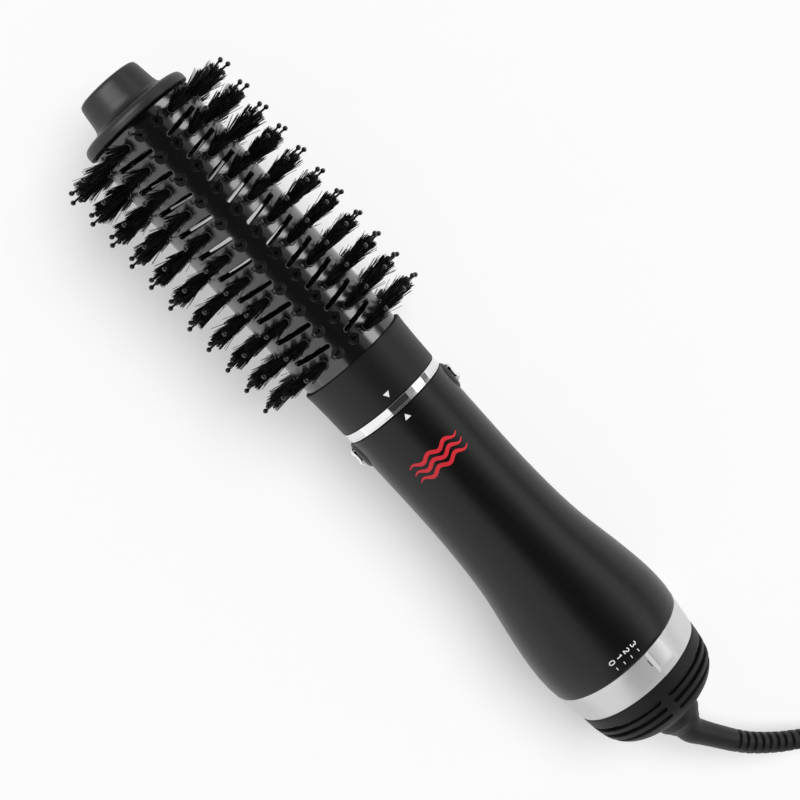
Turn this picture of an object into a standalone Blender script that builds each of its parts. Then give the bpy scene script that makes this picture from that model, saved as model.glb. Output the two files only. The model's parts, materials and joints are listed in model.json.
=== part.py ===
"""Hot air styling brush, built as separate pieces.

World frame: metres, +Z up.  The brush lies on a flat surface at z = 0, on the
tips of its bristles and on the widest ring of its handle, with its long axis
along +X (the tip of the head at -X, the cord at +X).

Nearly every piece is drawn in the brush's own axis frame, in millimetres:
x runs along the brush from the tip (0) to the cord, r is the radius about
that axis, +Z is the side that carries the scale and +/-Y are the two sides
with the release buttons.  AXIS_FRAME leans that frame by a few degrees,
because the bristle head is wider than the handle.
"""

import math

import bmesh
import bpy
from mathutils import Matrix, Vector

MM = 0.001
GAP = 0.3  # clearance between pieces that touch

# ---------------------------------------------------------------- dimensions
# head
BARREL_R = 24.7  # a nominal 50 mm barrel
BARREL_BORE_R = 18.5
BARREL_X = (20.4, 157.0)
ROW_FIRST_X = 26.6
ROW_PITCH = 11.77
ROWS = 11
TUFTS = 18  # tufts round each row
TUFT_W = 4.2
TUFT_R = 44.3  # outer end of a tuft's ball-tipped pin
HOOP_R = (25.39, 26.1)
SLOT_W = 2.4
SLOT_MIDS = (32.5, 147.5, 212.5, 327.5)  # slots round each gap between rows
SLOT_ARC = 45.0
SLOT_SLANT = 0.132  # how far each slot leans along the axis, like a chevron
COLLAR_X = (151.5, 174.6)
CHROME_X = (174.9, 179.2)
CHROME_R = 25.35
# handle
HANDLE_X = (179.5, 325.4)
HANDLE_WIDE_X = 318.0
HANDLE_WIDE_R = 34.6
NECK_R = 30.6
NECK_END_X = 339.6
OUTLET_R = (16.4, 17.9)
RING_X = (325.7, 339.9)
RING_BORE_R = 31.0
RING_STEP_DEG = 6.7
BUTTON_X = 186.0
# motor and heater
FAN_X = (233.0, 246.0)
MOTOR_X = (250.0, 276.0)
MOTOR_R = 13.0
HEATER_X = (150.0, 210.0)
# tail
CAP_X = (340.2, 366.6)
SWIVEL_X = (367.0, 374.9)
BOOT_LENGTH_POINTS = 19
# cord
CORD_D = 6.8
CORD_R = CORD_D / 2
COIL_LIFT = 0.75
COIL_IN_R = 27.0  # centreline of the innermost turn
COIL_PITCH = 6.9
COIL_TURNS = 3.25  # in each of two layers
COIL_OUT_R = COIL_IN_R + COIL_PITCH * COIL_TURNS
COIL_TOP_Z = COIL_LIFT + 2 * CORD_D + 0.05

# rest attitude: the last row of tufts and the widest ring both touch z = 0
CONTACT_X = ROW_FIRST_X + ROW_PITCH * (ROWS - 1) + TUFT_W / 2
TUFT_REACH = TUFT_R * math.cos(math.radians(10)) + TUFT_W / 2 * math.sin(
    math.radians(10)
)
TILT = math.atan2(TUFT_REACH - HANDLE_WIDE_R, HANDLE_WIDE_X - CONTACT_X)
AXIS_Z0 = HANDLE_WIDE_X * math.sin(TILT) + HANDLE_WIDE_R * math.cos(TILT)
# puts the middle of the brush's length, boot and cord left out, at x = 0
AXIS_X0 = -0.5 * (
    (SWIVEL_X[1] * math.cos(TILT) + 8.2 * math.sin(TILT)) - 14.0 * math.sin(TILT)
)

HEAD_SEG = 24
HANDLE_SEG = 32

# ---------------------------------------------------------------- the scene
for old in list(bpy.data.objects):
    bpy.data.objects.remove(old, do_unlink=True)

parts = bpy.data.collections.new("hot_air_brush")
cutters = bpy.data.collections.new("cutters")
bpy.context.scene.collection.children.link(parts)
bpy.context.scene.collection.children.link(cutters)

AXIS_FRAME = Matrix.Translation(Vector((AXIS_X0, 0, AXIS_Z0)) * MM) @ Matrix.Rotation(
    TILT, 4, "Y"
)
TO_X = Matrix.Rotation(math.radians(90), 4, "Y")  # own Z along the brush's x
YZ_TO_X = Matrix(((0, 0, 1, 0), (1, 0, 0, 0), (0, 1, 0, 0), (0, 0, 0, 1)))


def axis_point(x, y=0.0, z=0.0):
    """A point of the brush's axis frame, in world metres."""
    return AXIS_FRAME @ (Vector((x, y, z)) * MM)


PIVOT_WORLD = {}


def pivot(name, world, size=0.01):
    """An empty that a group of pieces hangs on, set on their joint's axis."""
    e = bpy.data.objects.new(name, None)
    e.empty_display_size = size
    e.matrix_world = world
    parts.objects.link(e)
    PIVOT_WORLD[name] = world.copy()
    return e


pivots = {
    "brush": pivot("brush_axis", AXIS_FRAME),
    "head": pivot("head_slide_axis", AXIS_FRAME @ Matrix.Translation((0.16, 0, 0))),
    "ring": pivot("selector_axis", AXIS_FRAME @ Matrix.Translation((0.3328, 0, 0))),
    "rotor": pivot("rotor_axis", AXIS_FRAME @ Matrix.Translation((0.255, 0, 0))),
    "swivel": pivot("swivel_axis", AXIS_FRAME @ Matrix.Translation((0.367, 0, 0))),
    "left": pivot(
        "left_button_axis", AXIS_FRAME @ Matrix.Translation((0.186, 0.021, 0))
    ),
    "right": pivot(
        "right_button_axis", AXIS_FRAME @ Matrix.Translation((0.186, -0.021, 0))
    ),
}


def material(name, rgb, rough, metal=0.0):
    m = bpy.data.materials.new(name)
    m.use_nodes = True
    b = m.node_tree.nodes["Principled BSDF"]
    b.inputs["Base Color"].default_value = (*rgb, 1)
    b.inputs["Roughness"].default_value = rough
    b.inputs["Metallic"].default_value = metal
    m.diffuse_color = (*rgb, 1)
    return m


MAT = {
    "cap": material("charcoal_plastic", (0.045, 0.045, 0.048), 0.45),
    "barrel": material("barrel_gloss", (0.02, 0.02, 0.022), 0.18, 0.3),
    "tuft": material("bristle", (0.01, 0.01, 0.01), 0.5),
    "collar": material("collar_plastic", (0.03, 0.03, 0.032), 0.55),
    "chrome": material("chrome", (0.75, 0.75, 0.76), 0.08, 1.0),
    "grip": material("soft_touch", (0.022, 0.022, 0.024), 0.6),
    "silver": material("satin_silver", (0.6, 0.6, 0.6), 0.35, 0.8),
    "inner": material("inner_plastic", (0.05, 0.05, 0.055), 0.6),
    "mica": material("mica", (0.62, 0.55, 0.4), 0.7),
    "wire": material("heating_wire", (0.4, 0.36, 0.3), 0.4, 1.0),
    "steel": material("steel", (0.5, 0.5, 0.52), 0.3, 1.0),
    "board": material("circuit_board", (0.02, 0.12, 0.05), 0.5),
    "lead": material("lead_insulation", (0.25, 0.25, 0.27), 0.5),
    "cord": material("cord_jacket", (0.015, 0.015, 0.016), 0.5),
    "brass": material("blade_brass", (0.75, 0.6, 0.3), 0.3, 1.0),
}


def show(obj, mat, group="brush", world=None):
    """Puts a piece in the collection, on its pivot, with its material."""
    if obj.name not in parts.objects:
        parts.objects.link(obj)
    obj.data.materials.clear()
    obj.data.materials.append(MAT[mat])
    hang(obj, group, world)
    return obj


def hang(obj, group, world=None):
    e = pivots[group]
    world = AXIS_FRAME if world is None else world
    obj.parent = e
    obj.matrix_parent_inverse = Matrix.Identity(4)
    obj.matrix_basis = PIVOT_WORLD[e.name].inverted() @ world


def as_cutter(obj, world=None):
    cutters.objects.link(obj)
    obj.hide_render = True
    obj.display_type = "WIRE"
    hang(obj, "brush", world)
    return obj


def boolean(obj, other, operation):
    m = obj.modifiers.new(operation.lower(), "BOOLEAN")
    m.operation = operation
    m.solver = "EXACT"
    m.object = other
    return m


def turned(name, outline, segments, closed=True):
    """A piece turned about the brush's axis, from its half outline.

    outline is a list of (x, r).  The piece's own Z is the axis, so it is
    placed with AXIS_FRAME @ TO_X.
    """
    pts = [(r * MM, x * MM) for x, r in outline]
    area = sum(
        a[0] * b[1] - b[0] * a[1] for a, b in zip(pts, pts[1:] + pts[:1])
    )
    if area > 0:  # the outer side has to run from top to bottom
        pts.reverse()
    mesh = bpy.data.meshes.new(name)
    edges = [(i, i + 1) for i in range(len(pts) - 1)]
    if closed:
        edges.append((len(pts) - 1, 0))
    mesh.from_pydata([(r, 0, z) for r, z in pts], edges, [])
    obj = bpy.data.objects.new(name, mesh)
    s = obj.modifiers.new("turn", "SCREW")
    s.axis = "Z"
    s.steps = s.render_steps = segments
    s.use_merge_vertices = True
    s.merge_threshold = 0.00001
    s.use_smooth_shade = True
    return obj


def flat(name, loops, thickness):
    """A plate cut from flat outlines (the first is the rim, the rest holes),
    thickness mm thick about its own z = 0, as a welded mesh."""
    c = bpy.data.curves.new(name + "_outline", "CURVE")
    c.dimensions = "2D"
    c.fill_mode = "BOTH"
    c.extrude = thickness / 2 * MM
    for loop in loops:
        s = c.splines.new("POLY")
        s.points.add(len(loop) - 1)
        for p, (x, y) in zip(s.points, loop):
            p.co = (x * MM, y * MM, 0, 1)
        s.use_cyclic_u = True
    return solidified(name, c)


def solidified(name, curve):
    """A curve's evaluated shape as one welded mesh object."""
    tmp = bpy.data.objects.new(name + "_curve", curve)
    cutters.objects.link(tmp)
    graph = bpy.context.evaluated_depsgraph_get()
    mesh = bpy.data.meshes.new_from_object(tmp.evaluated_get(graph))
    bpy.data.objects.remove(tmp, do_unlink=True)
    bpy.data.curves.remove(curve)
    bm = bmesh.new()
    bm.from_mesh(mesh)
    bmesh.ops.remove_doubles(bm, verts=bm.verts, dist=1e-6)
    bmesh.ops.recalc_face_normals(bm, faces=bm.faces)
    bm.to_mesh(mesh)
    bm.free()
    mesh.name = name
    return bpy.data.objects.new(name, mesh)


def box(name, lo, hi):
    """A box from corner to corner, in the axis frame's millimetres."""
    mesh = bpy.data.meshes.new(name)
    bm = bmesh.new()
    bmesh.ops.create_cube(bm, size=1.0)
    size = [h - low for low, h in zip(lo, hi)]
    mid = [(h + low) / 2 for low, h in zip(lo, hi)]
    bmesh.ops.scale(bm, vec=[s * MM for s in size], verts=bm.verts)
    bmesh.ops.translate(bm, vec=[m * MM for m in mid], verts=bm.verts)
    bm.to_mesh(mesh)
    bm.free()
    return bpy.data.objects.new(name, mesh)


def rod(name, points, radius, sides_level=2, radii=None):
    """A round rod along points (mm), with flat ends."""
    c = bpy.data.curves.new(name, "CURVE")
    c.dimensions = "3D"
    c.bevel_depth = radius * MM
    c.bevel_resolution = sides_level
    c.use_fill_caps = True
    s = c.splines.new("POLY")
    s.points.add(len(points) - 1)
    for i, (p, q) in enumerate(zip(s.points, points)):
        p.co = (q[0] * MM, q[1] * MM, q[2] * MM, 1)
        p.radius = radii[i] / radius if radii else 1.0
    return bpy.data.objects.new(name, c)


def ellipse(a, b, count, cx=0.0, cy=0.0):
    return [
        (
            cx + a * math.cos(2 * math.pi * i / count),
            cy + b * math.sin(2 * math.pi * i / count),
        )
        for i in range(count)
    ]


def smooth(points, count):
    """count points evenly spaced along the smooth curve through points."""
    pts = [Vector(p) for p in points]
    pts = [2 * pts[0] - pts[1], *pts, 2 * pts[-1] - pts[-2]]
    fine = []
    for i in range(1, len(pts) - 2):
        p0, p1, p2, p3 = pts[i - 1 : i + 3]
        for k in range(24):
            t = k / 24
            fine.append(
                0.5
                * (
                    2 * p1
                    + (p2 - p0) * t
                    + (2 * p0 - 5 * p1 + 4 * p2 - p3) * t * t
                    + (3 * p1 - p0 - 3 * p2 + p3) * t**3
                )
            )
    fine.append(pts[-2])
    along = [0.0]
    for a, b in zip(fine, fine[1:]):
        along.append(along[-1] + (b - a).length)
    out, j = [], 0
    for k in range(count):
        want = along[-1] * k / (count - 1)
        while j < len(along) - 2 and along[j + 1] < want:
            j += 1
        f = (want - along[j]) / max(along[j + 1] - along[j], 1e-9)
        out.append(fine[j].lerp(fine[j + 1], min(max(f, 0.0), 1.0)))
    return out


AXIAL = AXIS_FRAME @ TO_X

# ================================================================= the head
# tip cap: the cool-touch knob and its flange are one hollow moulding whose
# spigot closes the end of the barrel
tip_cap = turned(
    "tip_cap",
    [
        (0.0, 0.0),
        (0.0, 12.6),
        (0.5, 13.9),
        (1.8, 14.9),
        (4.0, 15.4),
        (10.8, 16.4),
        (12.6, 17.3),
        (14.0, 19.2),
        (14.8, 22.4),
        (15.3, 24.6),
        (16.2, 25.8),
        (17.6, 26.3),
        (19.5, 26.3),
        (20.1, 25.9),
        (20.1, 18.2),
        (30.0, 18.2),
        (30.0, 16.2),
        (17.0, 16.2),
        (11.0, 14.2),
        (2.4, 13.0),
        (2.4, 0.0),
    ],
    HEAD_SEG,
    closed=False,
)
show(tip_cap, "cap", "head", AXIAL)

# barrel: a thick-walled tube, slotted between the rows of tufts
barrel = turned(
    "barrel",
    [
        (BARREL_X[0], BARREL_R),
        (BARREL_X[1], BARREL_R),
        (BARREL_X[1], BARREL_BORE_R),
        (BARREL_X[0], BARREL_BORE_R),
    ],
    HEAD_SEG,
)
show(barrel, "barrel", "head", AXIAL)


def slot_sectors():
    """One sector-shaped prism for each air slot, as a single cutter."""
    arc = math.radians(SLOT_ARC)
    rings = []
    for k, mid_deg in enumerate(SLOT_MIDS):
        mid = math.radians(mid_deg)
        angles = [mid - arc / 2 + arc * j / 3 for j in range(4)]
        # the angle is measured from +Z (the scale side) towards -Y
        loop = [(-13 * math.sin(a), 13 * math.cos(a)) for a in (angles[0], angles[-1])]
        loop += [(-29 * math.sin(a), 29 * math.cos(a)) for a in reversed(angles)]
        plate = flat(f"slot_{k}", [loop], SLOT_W)
        # lean it: the end nearer the scale's plane sits nearer the handle
        slant = SLOT_SLANT * (-1 if k % 2 == 0 else 1)
        for v in plate.data.vertices:
            v.co.z += slant * (-v.co.x * math.cos(mid) - v.co.y * math.sin(mid))
        rings.append(plate)
    bm = bmesh.new()
    for i in range(ROWS - 1):
        x = ROW_FIRST_X + ROW_PITCH * (i + 0.5)
        for plate in rings:
            count = len(bm.verts)
            bm.from_mesh(plate.data)
            bm.verts.ensure_lookup_table()
            bmesh.ops.translate(bm, vec=(0, 0, x * MM), verts=bm.verts[count:])
    mesh = bpy.data.meshes.new("barrel_slots_cutter")
    bm.to_mesh(mesh)
    bm.free()
    for plate in rings:
        bpy.data.objects.remove(plate, do_unlink=True)
    return bpy.data.objects.new("barrel_slots_cutter", mesh)


boolean(barrel, as_cutter(slot_sectors(), AXIS_FRAME @ YZ_TO_X), "DIFFERENCE")

# each row of tufts: bristle tufts with a ball-tipped pin, joined at their
# roots by a thin hoop on the barrel
star = []
for k in range(TUFTS):
    a = math.radians(10 + 20 * k)
    along = Vector((-math.sin(a), math.cos(a)))
    side = Vector((math.cos(a), math.sin(a)))
    root = math.sqrt(HOOP_R[1] ** 2 - (TUFT_W / 2) ** 2)
    for r, s in ((root, 1), (TUFT_R, 1), (TUFT_R, -1), (root, -1)):
        star.append(tuple(along * r + side * (s * TUFT_W / 2)))
hoop = [
    (
        -HOOP_R[0] * math.sin(math.radians(20 * k)),
        HOOP_R[0] * math.cos(math.radians(20 * k)),
    )
    for k in range(TUFTS)
]
row_mesh = flat("bristle_row", [star, hoop], TUFT_W).data
for i in range(ROWS):
    row = bpy.data.objects.new(f"bristle_row_{i + 1:02d}", row_mesh)
    x = ROW_FIRST_X + ROW_PITCH * i
    show(
        row,
        "tuft",
        "head",
        AXIS_FRAME @ Matrix.Translation((x * MM, 0, 0)) @ YZ_TO_X,
    )

# collar: carries the barrel's end and the lip that the latches catch
collar = turned(
    "head_collar",
    [
        (COLLAR_X[0], 26.3),
        (153.0, 26.3),
        (158.0, 25.85),
        (165.0, 25.6),
        (COLLAR_X[1], 25.45),
        (COLLAR_X[1], 22.9),
        (168.0, 22.9),
        (167.2, 23.9),
        (157.4, 23.9),
        (157.4, 25.0),
        (COLLAR_X[0], 25.0),
    ],
    HEAD_SEG,
)
show(collar, "collar", "head", AXIAL)

# bulkhead: ties the barrel's bore to the collar and guides the outlet tube
guide = turned(
    "outlet_guide",
    [
        (157.4, 23.6),
        (159.4, 23.6),
        (159.4, 18.3),
        (157.4, 18.3),
    ],
    HEAD_SEG,
)
show(guide, "inner", "head", AXIAL)

chrome = turned(
    "chrome_ring",
    [
        (CHROME_X[0], CHROME_R - 0.2),
        (CHROME_X[0] + 0.4, CHROME_R),
        (CHROME_X[1] - 0.4, CHROME_R),
        (CHROME_X[1], CHROME_R - 0.2),
        (CHROME_X[1], 22.9),
        (CHROME_X[0], 22.9),
    ],
    HEAD_SEG,
)
show(chrome, "chrome", "head", AXIAL)

# ============================================================== the handle
HANDLE_OUTER = [
    (HANDLE_X[0], 25.2),
    (180.0, 25.4),
    (200.0, 25.35),
    (220.0, 25.3),
    (235.0, 25.5),
    (250.0, 26.2),
    (262.0, 27.1),
    (272.0, 28.3),
    (282.0, 30.1),
    (292.0, 32.0),
    (302.0, 33.5),
    (310.0, 34.35),
    (HANDLE_WIDE_X, HANDLE_WIDE_R),
    (HANDLE_X[1], 33.95),
]


def handle_shell(name):
    inner = [
        (330.0, NECK_R - 2.0),
        (318.0, 31.6),
        (302.0, 30.9),
        (282.0, 27.6),
        (262.0, 24.8),
        (235.0, 23.3),
        (181.6, 23.2),
    ]
    outline = (
        HANDLE_OUTER
        + [
            (HANDLE_X[1], NECK_R),
            (NECK_END_X, NECK_R),
            (NECK_END_X, NECK_R - 2.0),
        ]
        + inner
        + [(181.6, 18.2), (HANDLE_X[0], 18.2)]
    )
    return turned(name, outline, HANDLE_SEG)


def side_matrix(side):
    """Own Z points out of the brush's left (+Y) or right (-Y) side."""
    return AXIS_FRAME @ Matrix.Rotation(math.radians(-90 if side > 0 else 90), 4, "X")


# cutters shared by the two halves of the handle
bezel_holes = [
    as_cutter(
        flat("bezel_hole_" + n, [ellipse(6.2, 4.9, 16, BUTTON_X + 0.3)], 8.0),
        side_matrix(s) @ Matrix.Translation((0, 0, 0.0250)),
    )
    for n, s in (("left", 1), ("right", -1))
]
latch_notches = [
    as_cutter(box("latch_notch_" + n, (178.0, lo, -3.7), (186.0, hi, 3.7)))
    for n, lo, hi in (("left", 18.0, 22.3), ("right", -22.3, -18.0))
]
selector_window = as_cutter(
    flat(
        "selector_window",
        [
            [
                (-r * math.sin(math.radians(a)), r * math.cos(math.radians(a)))
                for r, a in (
                    (26.0, 36.0),
                    (26.0, 76.0),
                    (33.0, 76.0),
                    (33.0, 56.0),
                    (33.0, 36.0),
                )
            ]
        ],
        4.6,
    ),
    AXIS_FRAME @ Matrix.Translation((0.329, 0, 0)) @ YZ_TO_X,
)
for name, lo, hi in (
    ("handle_front_shell", -60.0, 0.15),
    ("handle_back_shell", -0.15, 60.0),
):
    shell = handle_shell(name)
    show(shell, "grip", "brush", AXIAL)
    other_half = as_cutter(
        box(name + "_cutter", (150.0, -60.0, lo), (360.0, 60.0, hi))
    )
    boolean(shell, other_half, "DIFFERENCE")
    for c in bezel_holes + latch_notches:
        boolean(shell, c, "DIFFERENCE")
    if name == "handle_front_shell":
        boolean(shell, selector_window, "DIFFERENCE")

# air outlet: the hot nozzle tube that the head slides over
outlet = turned(
    "air_outlet_tube",
    [
        (146.0, OUTLET_R[1]),
        (181.9, OUTLET_R[1]),
        (181.9, 22.4),
        (183.9, 22.4),
        (183.9, OUTLET_R[1]),
        (214.0, OUTLET_R[1]),
        (214.0, OUTLET_R[0]),
        (146.0, OUTLET_R[0]),
    ],
    HEAD_SEG,
)
show(outlet, "inner", "brush", AXIAL)
for n, lo, hi in (("left", 18.05, 24.0), ("right", -24.0, -18.05)):
    c = as_cutter(box("flange_notch_" + n, (181.0, lo, -3.7), (186.0, hi, 3.7)))
    boolean(outlet, c, "DIFFERENCE")

# release buttons, each in its bezel, with a latch arm that reaches forward
# into the head's collar and a narrow spring tail moulded on behind
for name, side in (("left", 1), ("right", -1)):
    m = side_matrix(side)
    bezel = flat(
        "button_bezel_" + name,
        [ellipse(5.9, 4.6, 16, BUTTON_X + 0.3), ellipse(4.9, 2.9, 16, BUTTON_X)],
        4.6,
    )
    show(bezel, "collar", "brush", m @ Matrix.Translation((0, 0, 0.0243)))

    button = flat("release_button_" + name, [ellipse(4.6, 2.6, 16, BUTTON_X)], 7.5)
    show(button, "chrome", name, m @ Matrix.Translation((0, 0, 0.02475)))
    foot = flat(
        "button_foot_" + name,
        [
            [
                (164.5, -3.2),
                (191.0, -3.2),
                (192.0, -1.6),
                (199.0, -1.6),
                (199.0, 1.6),
                (192.0, 1.6),
                (191.0, 3.2),
                (164.5, 3.2),
            ]
        ],
        1.4,
    )
    as_cutter(foot, m @ Matrix.Translation((0, 0, 0.0210)))
    hook = box("button_hook_" + name, (164.5, 21.3, -3.2), (166.5, 22.5, 3.2))
    if side < 0:
        hook.data.transform(Matrix.Rotation(math.pi, 4, "X"))
    as_cutter(hook)
    boolean(button, foot, "UNION")
    boolean(button, hook, "UNION")


# ---- heater: a crossed mica former wound with resistance wire
cross = []
for k in range(4):
    a = math.radians(90 * k)
    along, side_v = Vector((math.cos(a), math.sin(a))), Vector((-math.sin(a), math.cos(a)))
    for r, s in ((0.45, -0.45), (12.8, -0.45), (12.8, 0.45)):
        cross.append(tuple(along * r + side_v * s))
former = flat("heater_former", [cross], HEATER_X[1] - HEATER_X[0])
show(
    former,
    "mica",
    "brush",
    AXIS_FRAME
    @ Matrix.Translation((sum(HEATER_X) / 2 * MM, 0, 0))
    @ YZ_TO_X,
)
TURNS, PER = 6, 10
winding = [
    (
        HEATER_X[0] + 4 + 50 * i / (TURNS * PER),
        14.2 * math.cos(2 * math.pi * i / PER),
        14.2 * math.sin(2 * math.pi * i / PER),
    )
    for i in range(TURNS * PER + 1)
]
show(rod("heater_winding", winding, 0.6, 1), "wire", "brush")

# thermostat and one-shot fuse just behind the heater
show(
    turned(
        "thermostat",
        [(211.5, 0.0), (211.5, 5.0), (216.0, 5.0), (216.0, 0.0)],
        12,
        closed=False,
    ),
    "steel",
    "brush",
    AXIS_FRAME @ Matrix.Translation((0, 0.006, 0.002)) @ TO_X,
)
show(
    rod("thermal_fuse", [(212.0, -7.0, 0.0), (222.0, -7.0, 0.0)], 1.6, 1),
    "steel",
    "brush",
)

# ---- fan duct with its motor cup, joined by vanes
duct = turned(
    "fan_duct",
    [
        (224.0, 21.2),
        (284.0, 21.2),
        (284.0, 19.9),
        (224.0, 19.9),
    ],
    HEAD_SEG,
)
show(duct, "inner", "brush", AXIAL)
cup = turned(
    "motor_cup",
    [
        (248.0, 14.9),
        (270.0, 14.9),
        (270.0, 13.4),
        (249.5, 13.4),
        (249.5, 4.0),
        (248.0, 4.0),
    ],
    HEAD_SEG,
)
as_cutter(cup, AXIAL)
boolean(duct, cup, "UNION")
vanes = bmesh.new()
for k in range(5):
    count = len(vanes.verts)
    bmesh.ops.create_cube(vanes, size=1.0)
    vanes.verts.ensure_lookup_table()
    new = vanes.verts[count:]
    bmesh.ops.scale(vanes, vec=(0.018, 0.0012, 0.0064), verts=new)
    bmesh.ops.translate(vanes, vec=(0.260, 0.0, 0.0173), verts=new)
    bmesh.ops.rotate(
        vanes,
        cent=(0, 0, 0),
        matrix=Matrix.Rotation(math.radians(72 * k + 7.5), 3, "X"),
        verts=new,
    )
vane_mesh = bpy.data.meshes.new("stator_vanes")
vanes.to_mesh(vane_mesh)
vanes.free()
boolean(duct, as_cutter(bpy.data.objects.new("stator_vanes", vane_mesh)), "UNION")

# ---- motor, shaft and fan
show(
    turned(
        "motor_can",
        [
            (MOTOR_X[0], 1.6),
            (MOTOR_X[0], 3.4),
            (251.5, 3.4),
            (251.5, MOTOR_R),
            (MOTOR_X[1], MOTOR_R),
            (MOTOR_X[1], 1.6),
        ],
        16,
    ),
    "steel",
    "brush",
    AXIAL,
)
shaft_points = [(235.0, 0, 0), (274.0, 0, 0)]
show(rod("motor_shaft", shaft_points, 1.2, 2), "steel", "rotor")
fan = turned(
    "fan",
    [
        (FAN_X[0], 1.55),
        (FAN_X[0], 5.0),
        (FAN_X[0] + 2.0, 7.0),
        (FAN_X[1], 7.0),
        (FAN_X[1], 1.55),
    ],
    16,
)
show(fan, "inner", "rotor", AXIAL)
blades = bmesh.new()
for k in range(7):
    count = len(blades.verts)
    bmesh.ops.create_cube(blades, size=1.0)
    blades.verts.ensure_lookup_table()
    new = blades.verts[count:]
    bmesh.ops.scale(blades, vec=(0.0135, 0.0010, 0.0130), verts=new)
    bmesh.ops.rotate(
        blades,
        cent=(0, 0, 0),
        matrix=Matrix.Rotation(math.radians(38), 3, "Z"),
        verts=new,
    )
    bmesh.ops.translate(blades, vec=(0.2397, 0.0, 0.0126), verts=new)
    bmesh.ops.rotate(
        blades,
        cent=(0, 0, 0),
        matrix=Matrix.Rotation(math.radians(360 / 7 * k + 11), 3, "X"),
        verts=new,
    )
blade_mesh = bpy.data.meshes.new("fan_blades")
blades.to_mesh(blade_mesh)
blades.free()
boolean(fan, as_cutter(bpy.data.objects.new("fan_blades", blade_mesh)), "UNION")

# ---- control board with its parts
board = box("control_board", (288.0, -11.0, -1.0), (318.0, 11.0, 0.6))
show(board, "board", "brush")
for i, (lo, hi) in enumerate(
    (
        ((292.0, -8.0, 0.2), (300.0, -2.0, 6.0)),
        ((303.0, -8.0, 0.2), (314.0, -3.0, 4.0)),
        ((292.0, 1.0, 0.2), (310.0, 7.0, 3.0)),
    )
):
    boolean(board, as_cutter(box(f"board_part_{i}", lo, hi)), "UNION")

# ---- switch: the ring's dog drives a slider over a fixed contact block
def sector(r0, r1, a0, a1, steps=3):
    """A ring sector, angles in degrees from +Z towards -Y."""
    angles = [math.radians(a0 + (a1 - a0) * i / steps) for i in range(steps + 1)]
    return [(-r0 * math.sin(a), r0 * math.cos(a)) for a in angles] + [
        (-r1 * math.sin(a), r1 * math.cos(a)) for a in reversed(angles)
    ]


def across(x0, x1):
    return (
        AXIS_FRAME @ Matrix.Translation(((x0 + x1) / 2 * MM, 0, 0)) @ YZ_TO_X,
        x1 - x0,
    )


at, thick = across(322.0, 333.0)
show(
    flat("switch_block", [sector(15.0, 20.6, 36.0, 78.0)], thick),
    "inner",
    "brush",
    at,
)
DOG_DEG = 45.0
at, thick = across(324.5, 331.0)
show(
    flat("switch_slider", [sector(20.9, 24.4, DOG_DEG - 7, DOG_DEG + 7, 2)], thick),
    "inner",
    "ring",
    at,
)

# ---- selector ring, with a thumb ridge outside and a driving dog inside
ring = turned(
    "selector_ring",
    [
        (RING_X[0], 33.6),
        (RING_X[0] + 0.5, 34.0),
        (332.0, 33.2),
        (RING_X[1] - 0.5, 32.1),
        (RING_X[1], 31.8),
        (RING_X[1], RING_BORE_R),
        (RING_X[0], RING_BORE_R),
    ],
    HEAD_SEG,
)
show(ring, "silver", "ring", AXIAL)
at, thick = across(326.4, 339.2)
ridge = as_cutter(
    flat("thumb_ridge", [sector(31.6, 34.9, -28.0, -15.0, 2)], thick), at
)
boolean(ring, ridge, "UNION")
at, thick = across(327.2, 330.8)
dog = as_cutter(
    flat("ring_dog", [sector(24.7, 31.8, DOG_DEG - 2.5, DOG_DEG + 2.5, 1)], thick), at
)
boolean(ring, dog, "UNION")

# ---- rear cap with its intake slots
cap = turned(
    "rear_cap",
    [
        (333.4, 28.3),
        (341.8, 28.3),
        (341.8, 30.3),
        (CAP_X[0], 30.3),
        (CAP_X[0], 32.0),
        (346.0, 31.6),
        (350.0, 30.95),
        (354.0, 29.9),
        (357.0, 28.3),
        (360.0, 25.6),
        (362.5, 21.8),
        (364.5, 17.4),
        (366.0, 13.2),
        (CAP_X[1], 12.0),
        (CAP_X[1], 9.0),
        (363.6, 9.0),
        (362.6, 15.0),
        (360.6, 19.6),
        (357.6, 23.6),
        (354.0, 26.0),
        (348.0, 27.0),
        (333.4, 26.5),
    ],
    HANDLE_SEG,
)
show(cap, "collar", "brush", AXIAL)
slots = bmesh.new()
for x in (347.3, 351.45, 355.6):
    piece = flat(
        "intake_slots",
        [sector(20.0, 36.0, 90 * k + 4.2, 90 * k + 85.8, 2) for k in range(4)],
        2.1,
    )
    count = len(slots.verts)
    slots.from_mesh(piece.data)
    slots.verts.ensure_lookup_table()
    bmesh.ops.translate(slots, vec=(0, 0, x * MM), verts=slots.verts[count:])
    bpy.data.objects.remove(piece, do_unlink=True)
slot_mesh = bpy.data.meshes.new("intake_slots_cutter")
slots.to_mesh(slot_mesh)
slots.free()
boolean(
    cap,
    as_cutter(
        bpy.data.objects.new("intake_slots_cutter", slot_mesh), AXIS_FRAME @ YZ_TO_X
    ),
    "DIFFERENCE",
)

# lint screen behind the slots
show(
    turned(
        "intake_screen",
        [(337.0, 26.2), (356.4, 23.4), (356.0, 22.8), (337.0, 25.6)],
        HEAD_SEG,
    ),
    "steel",
    "brush",
    AXIAL,
)

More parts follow.
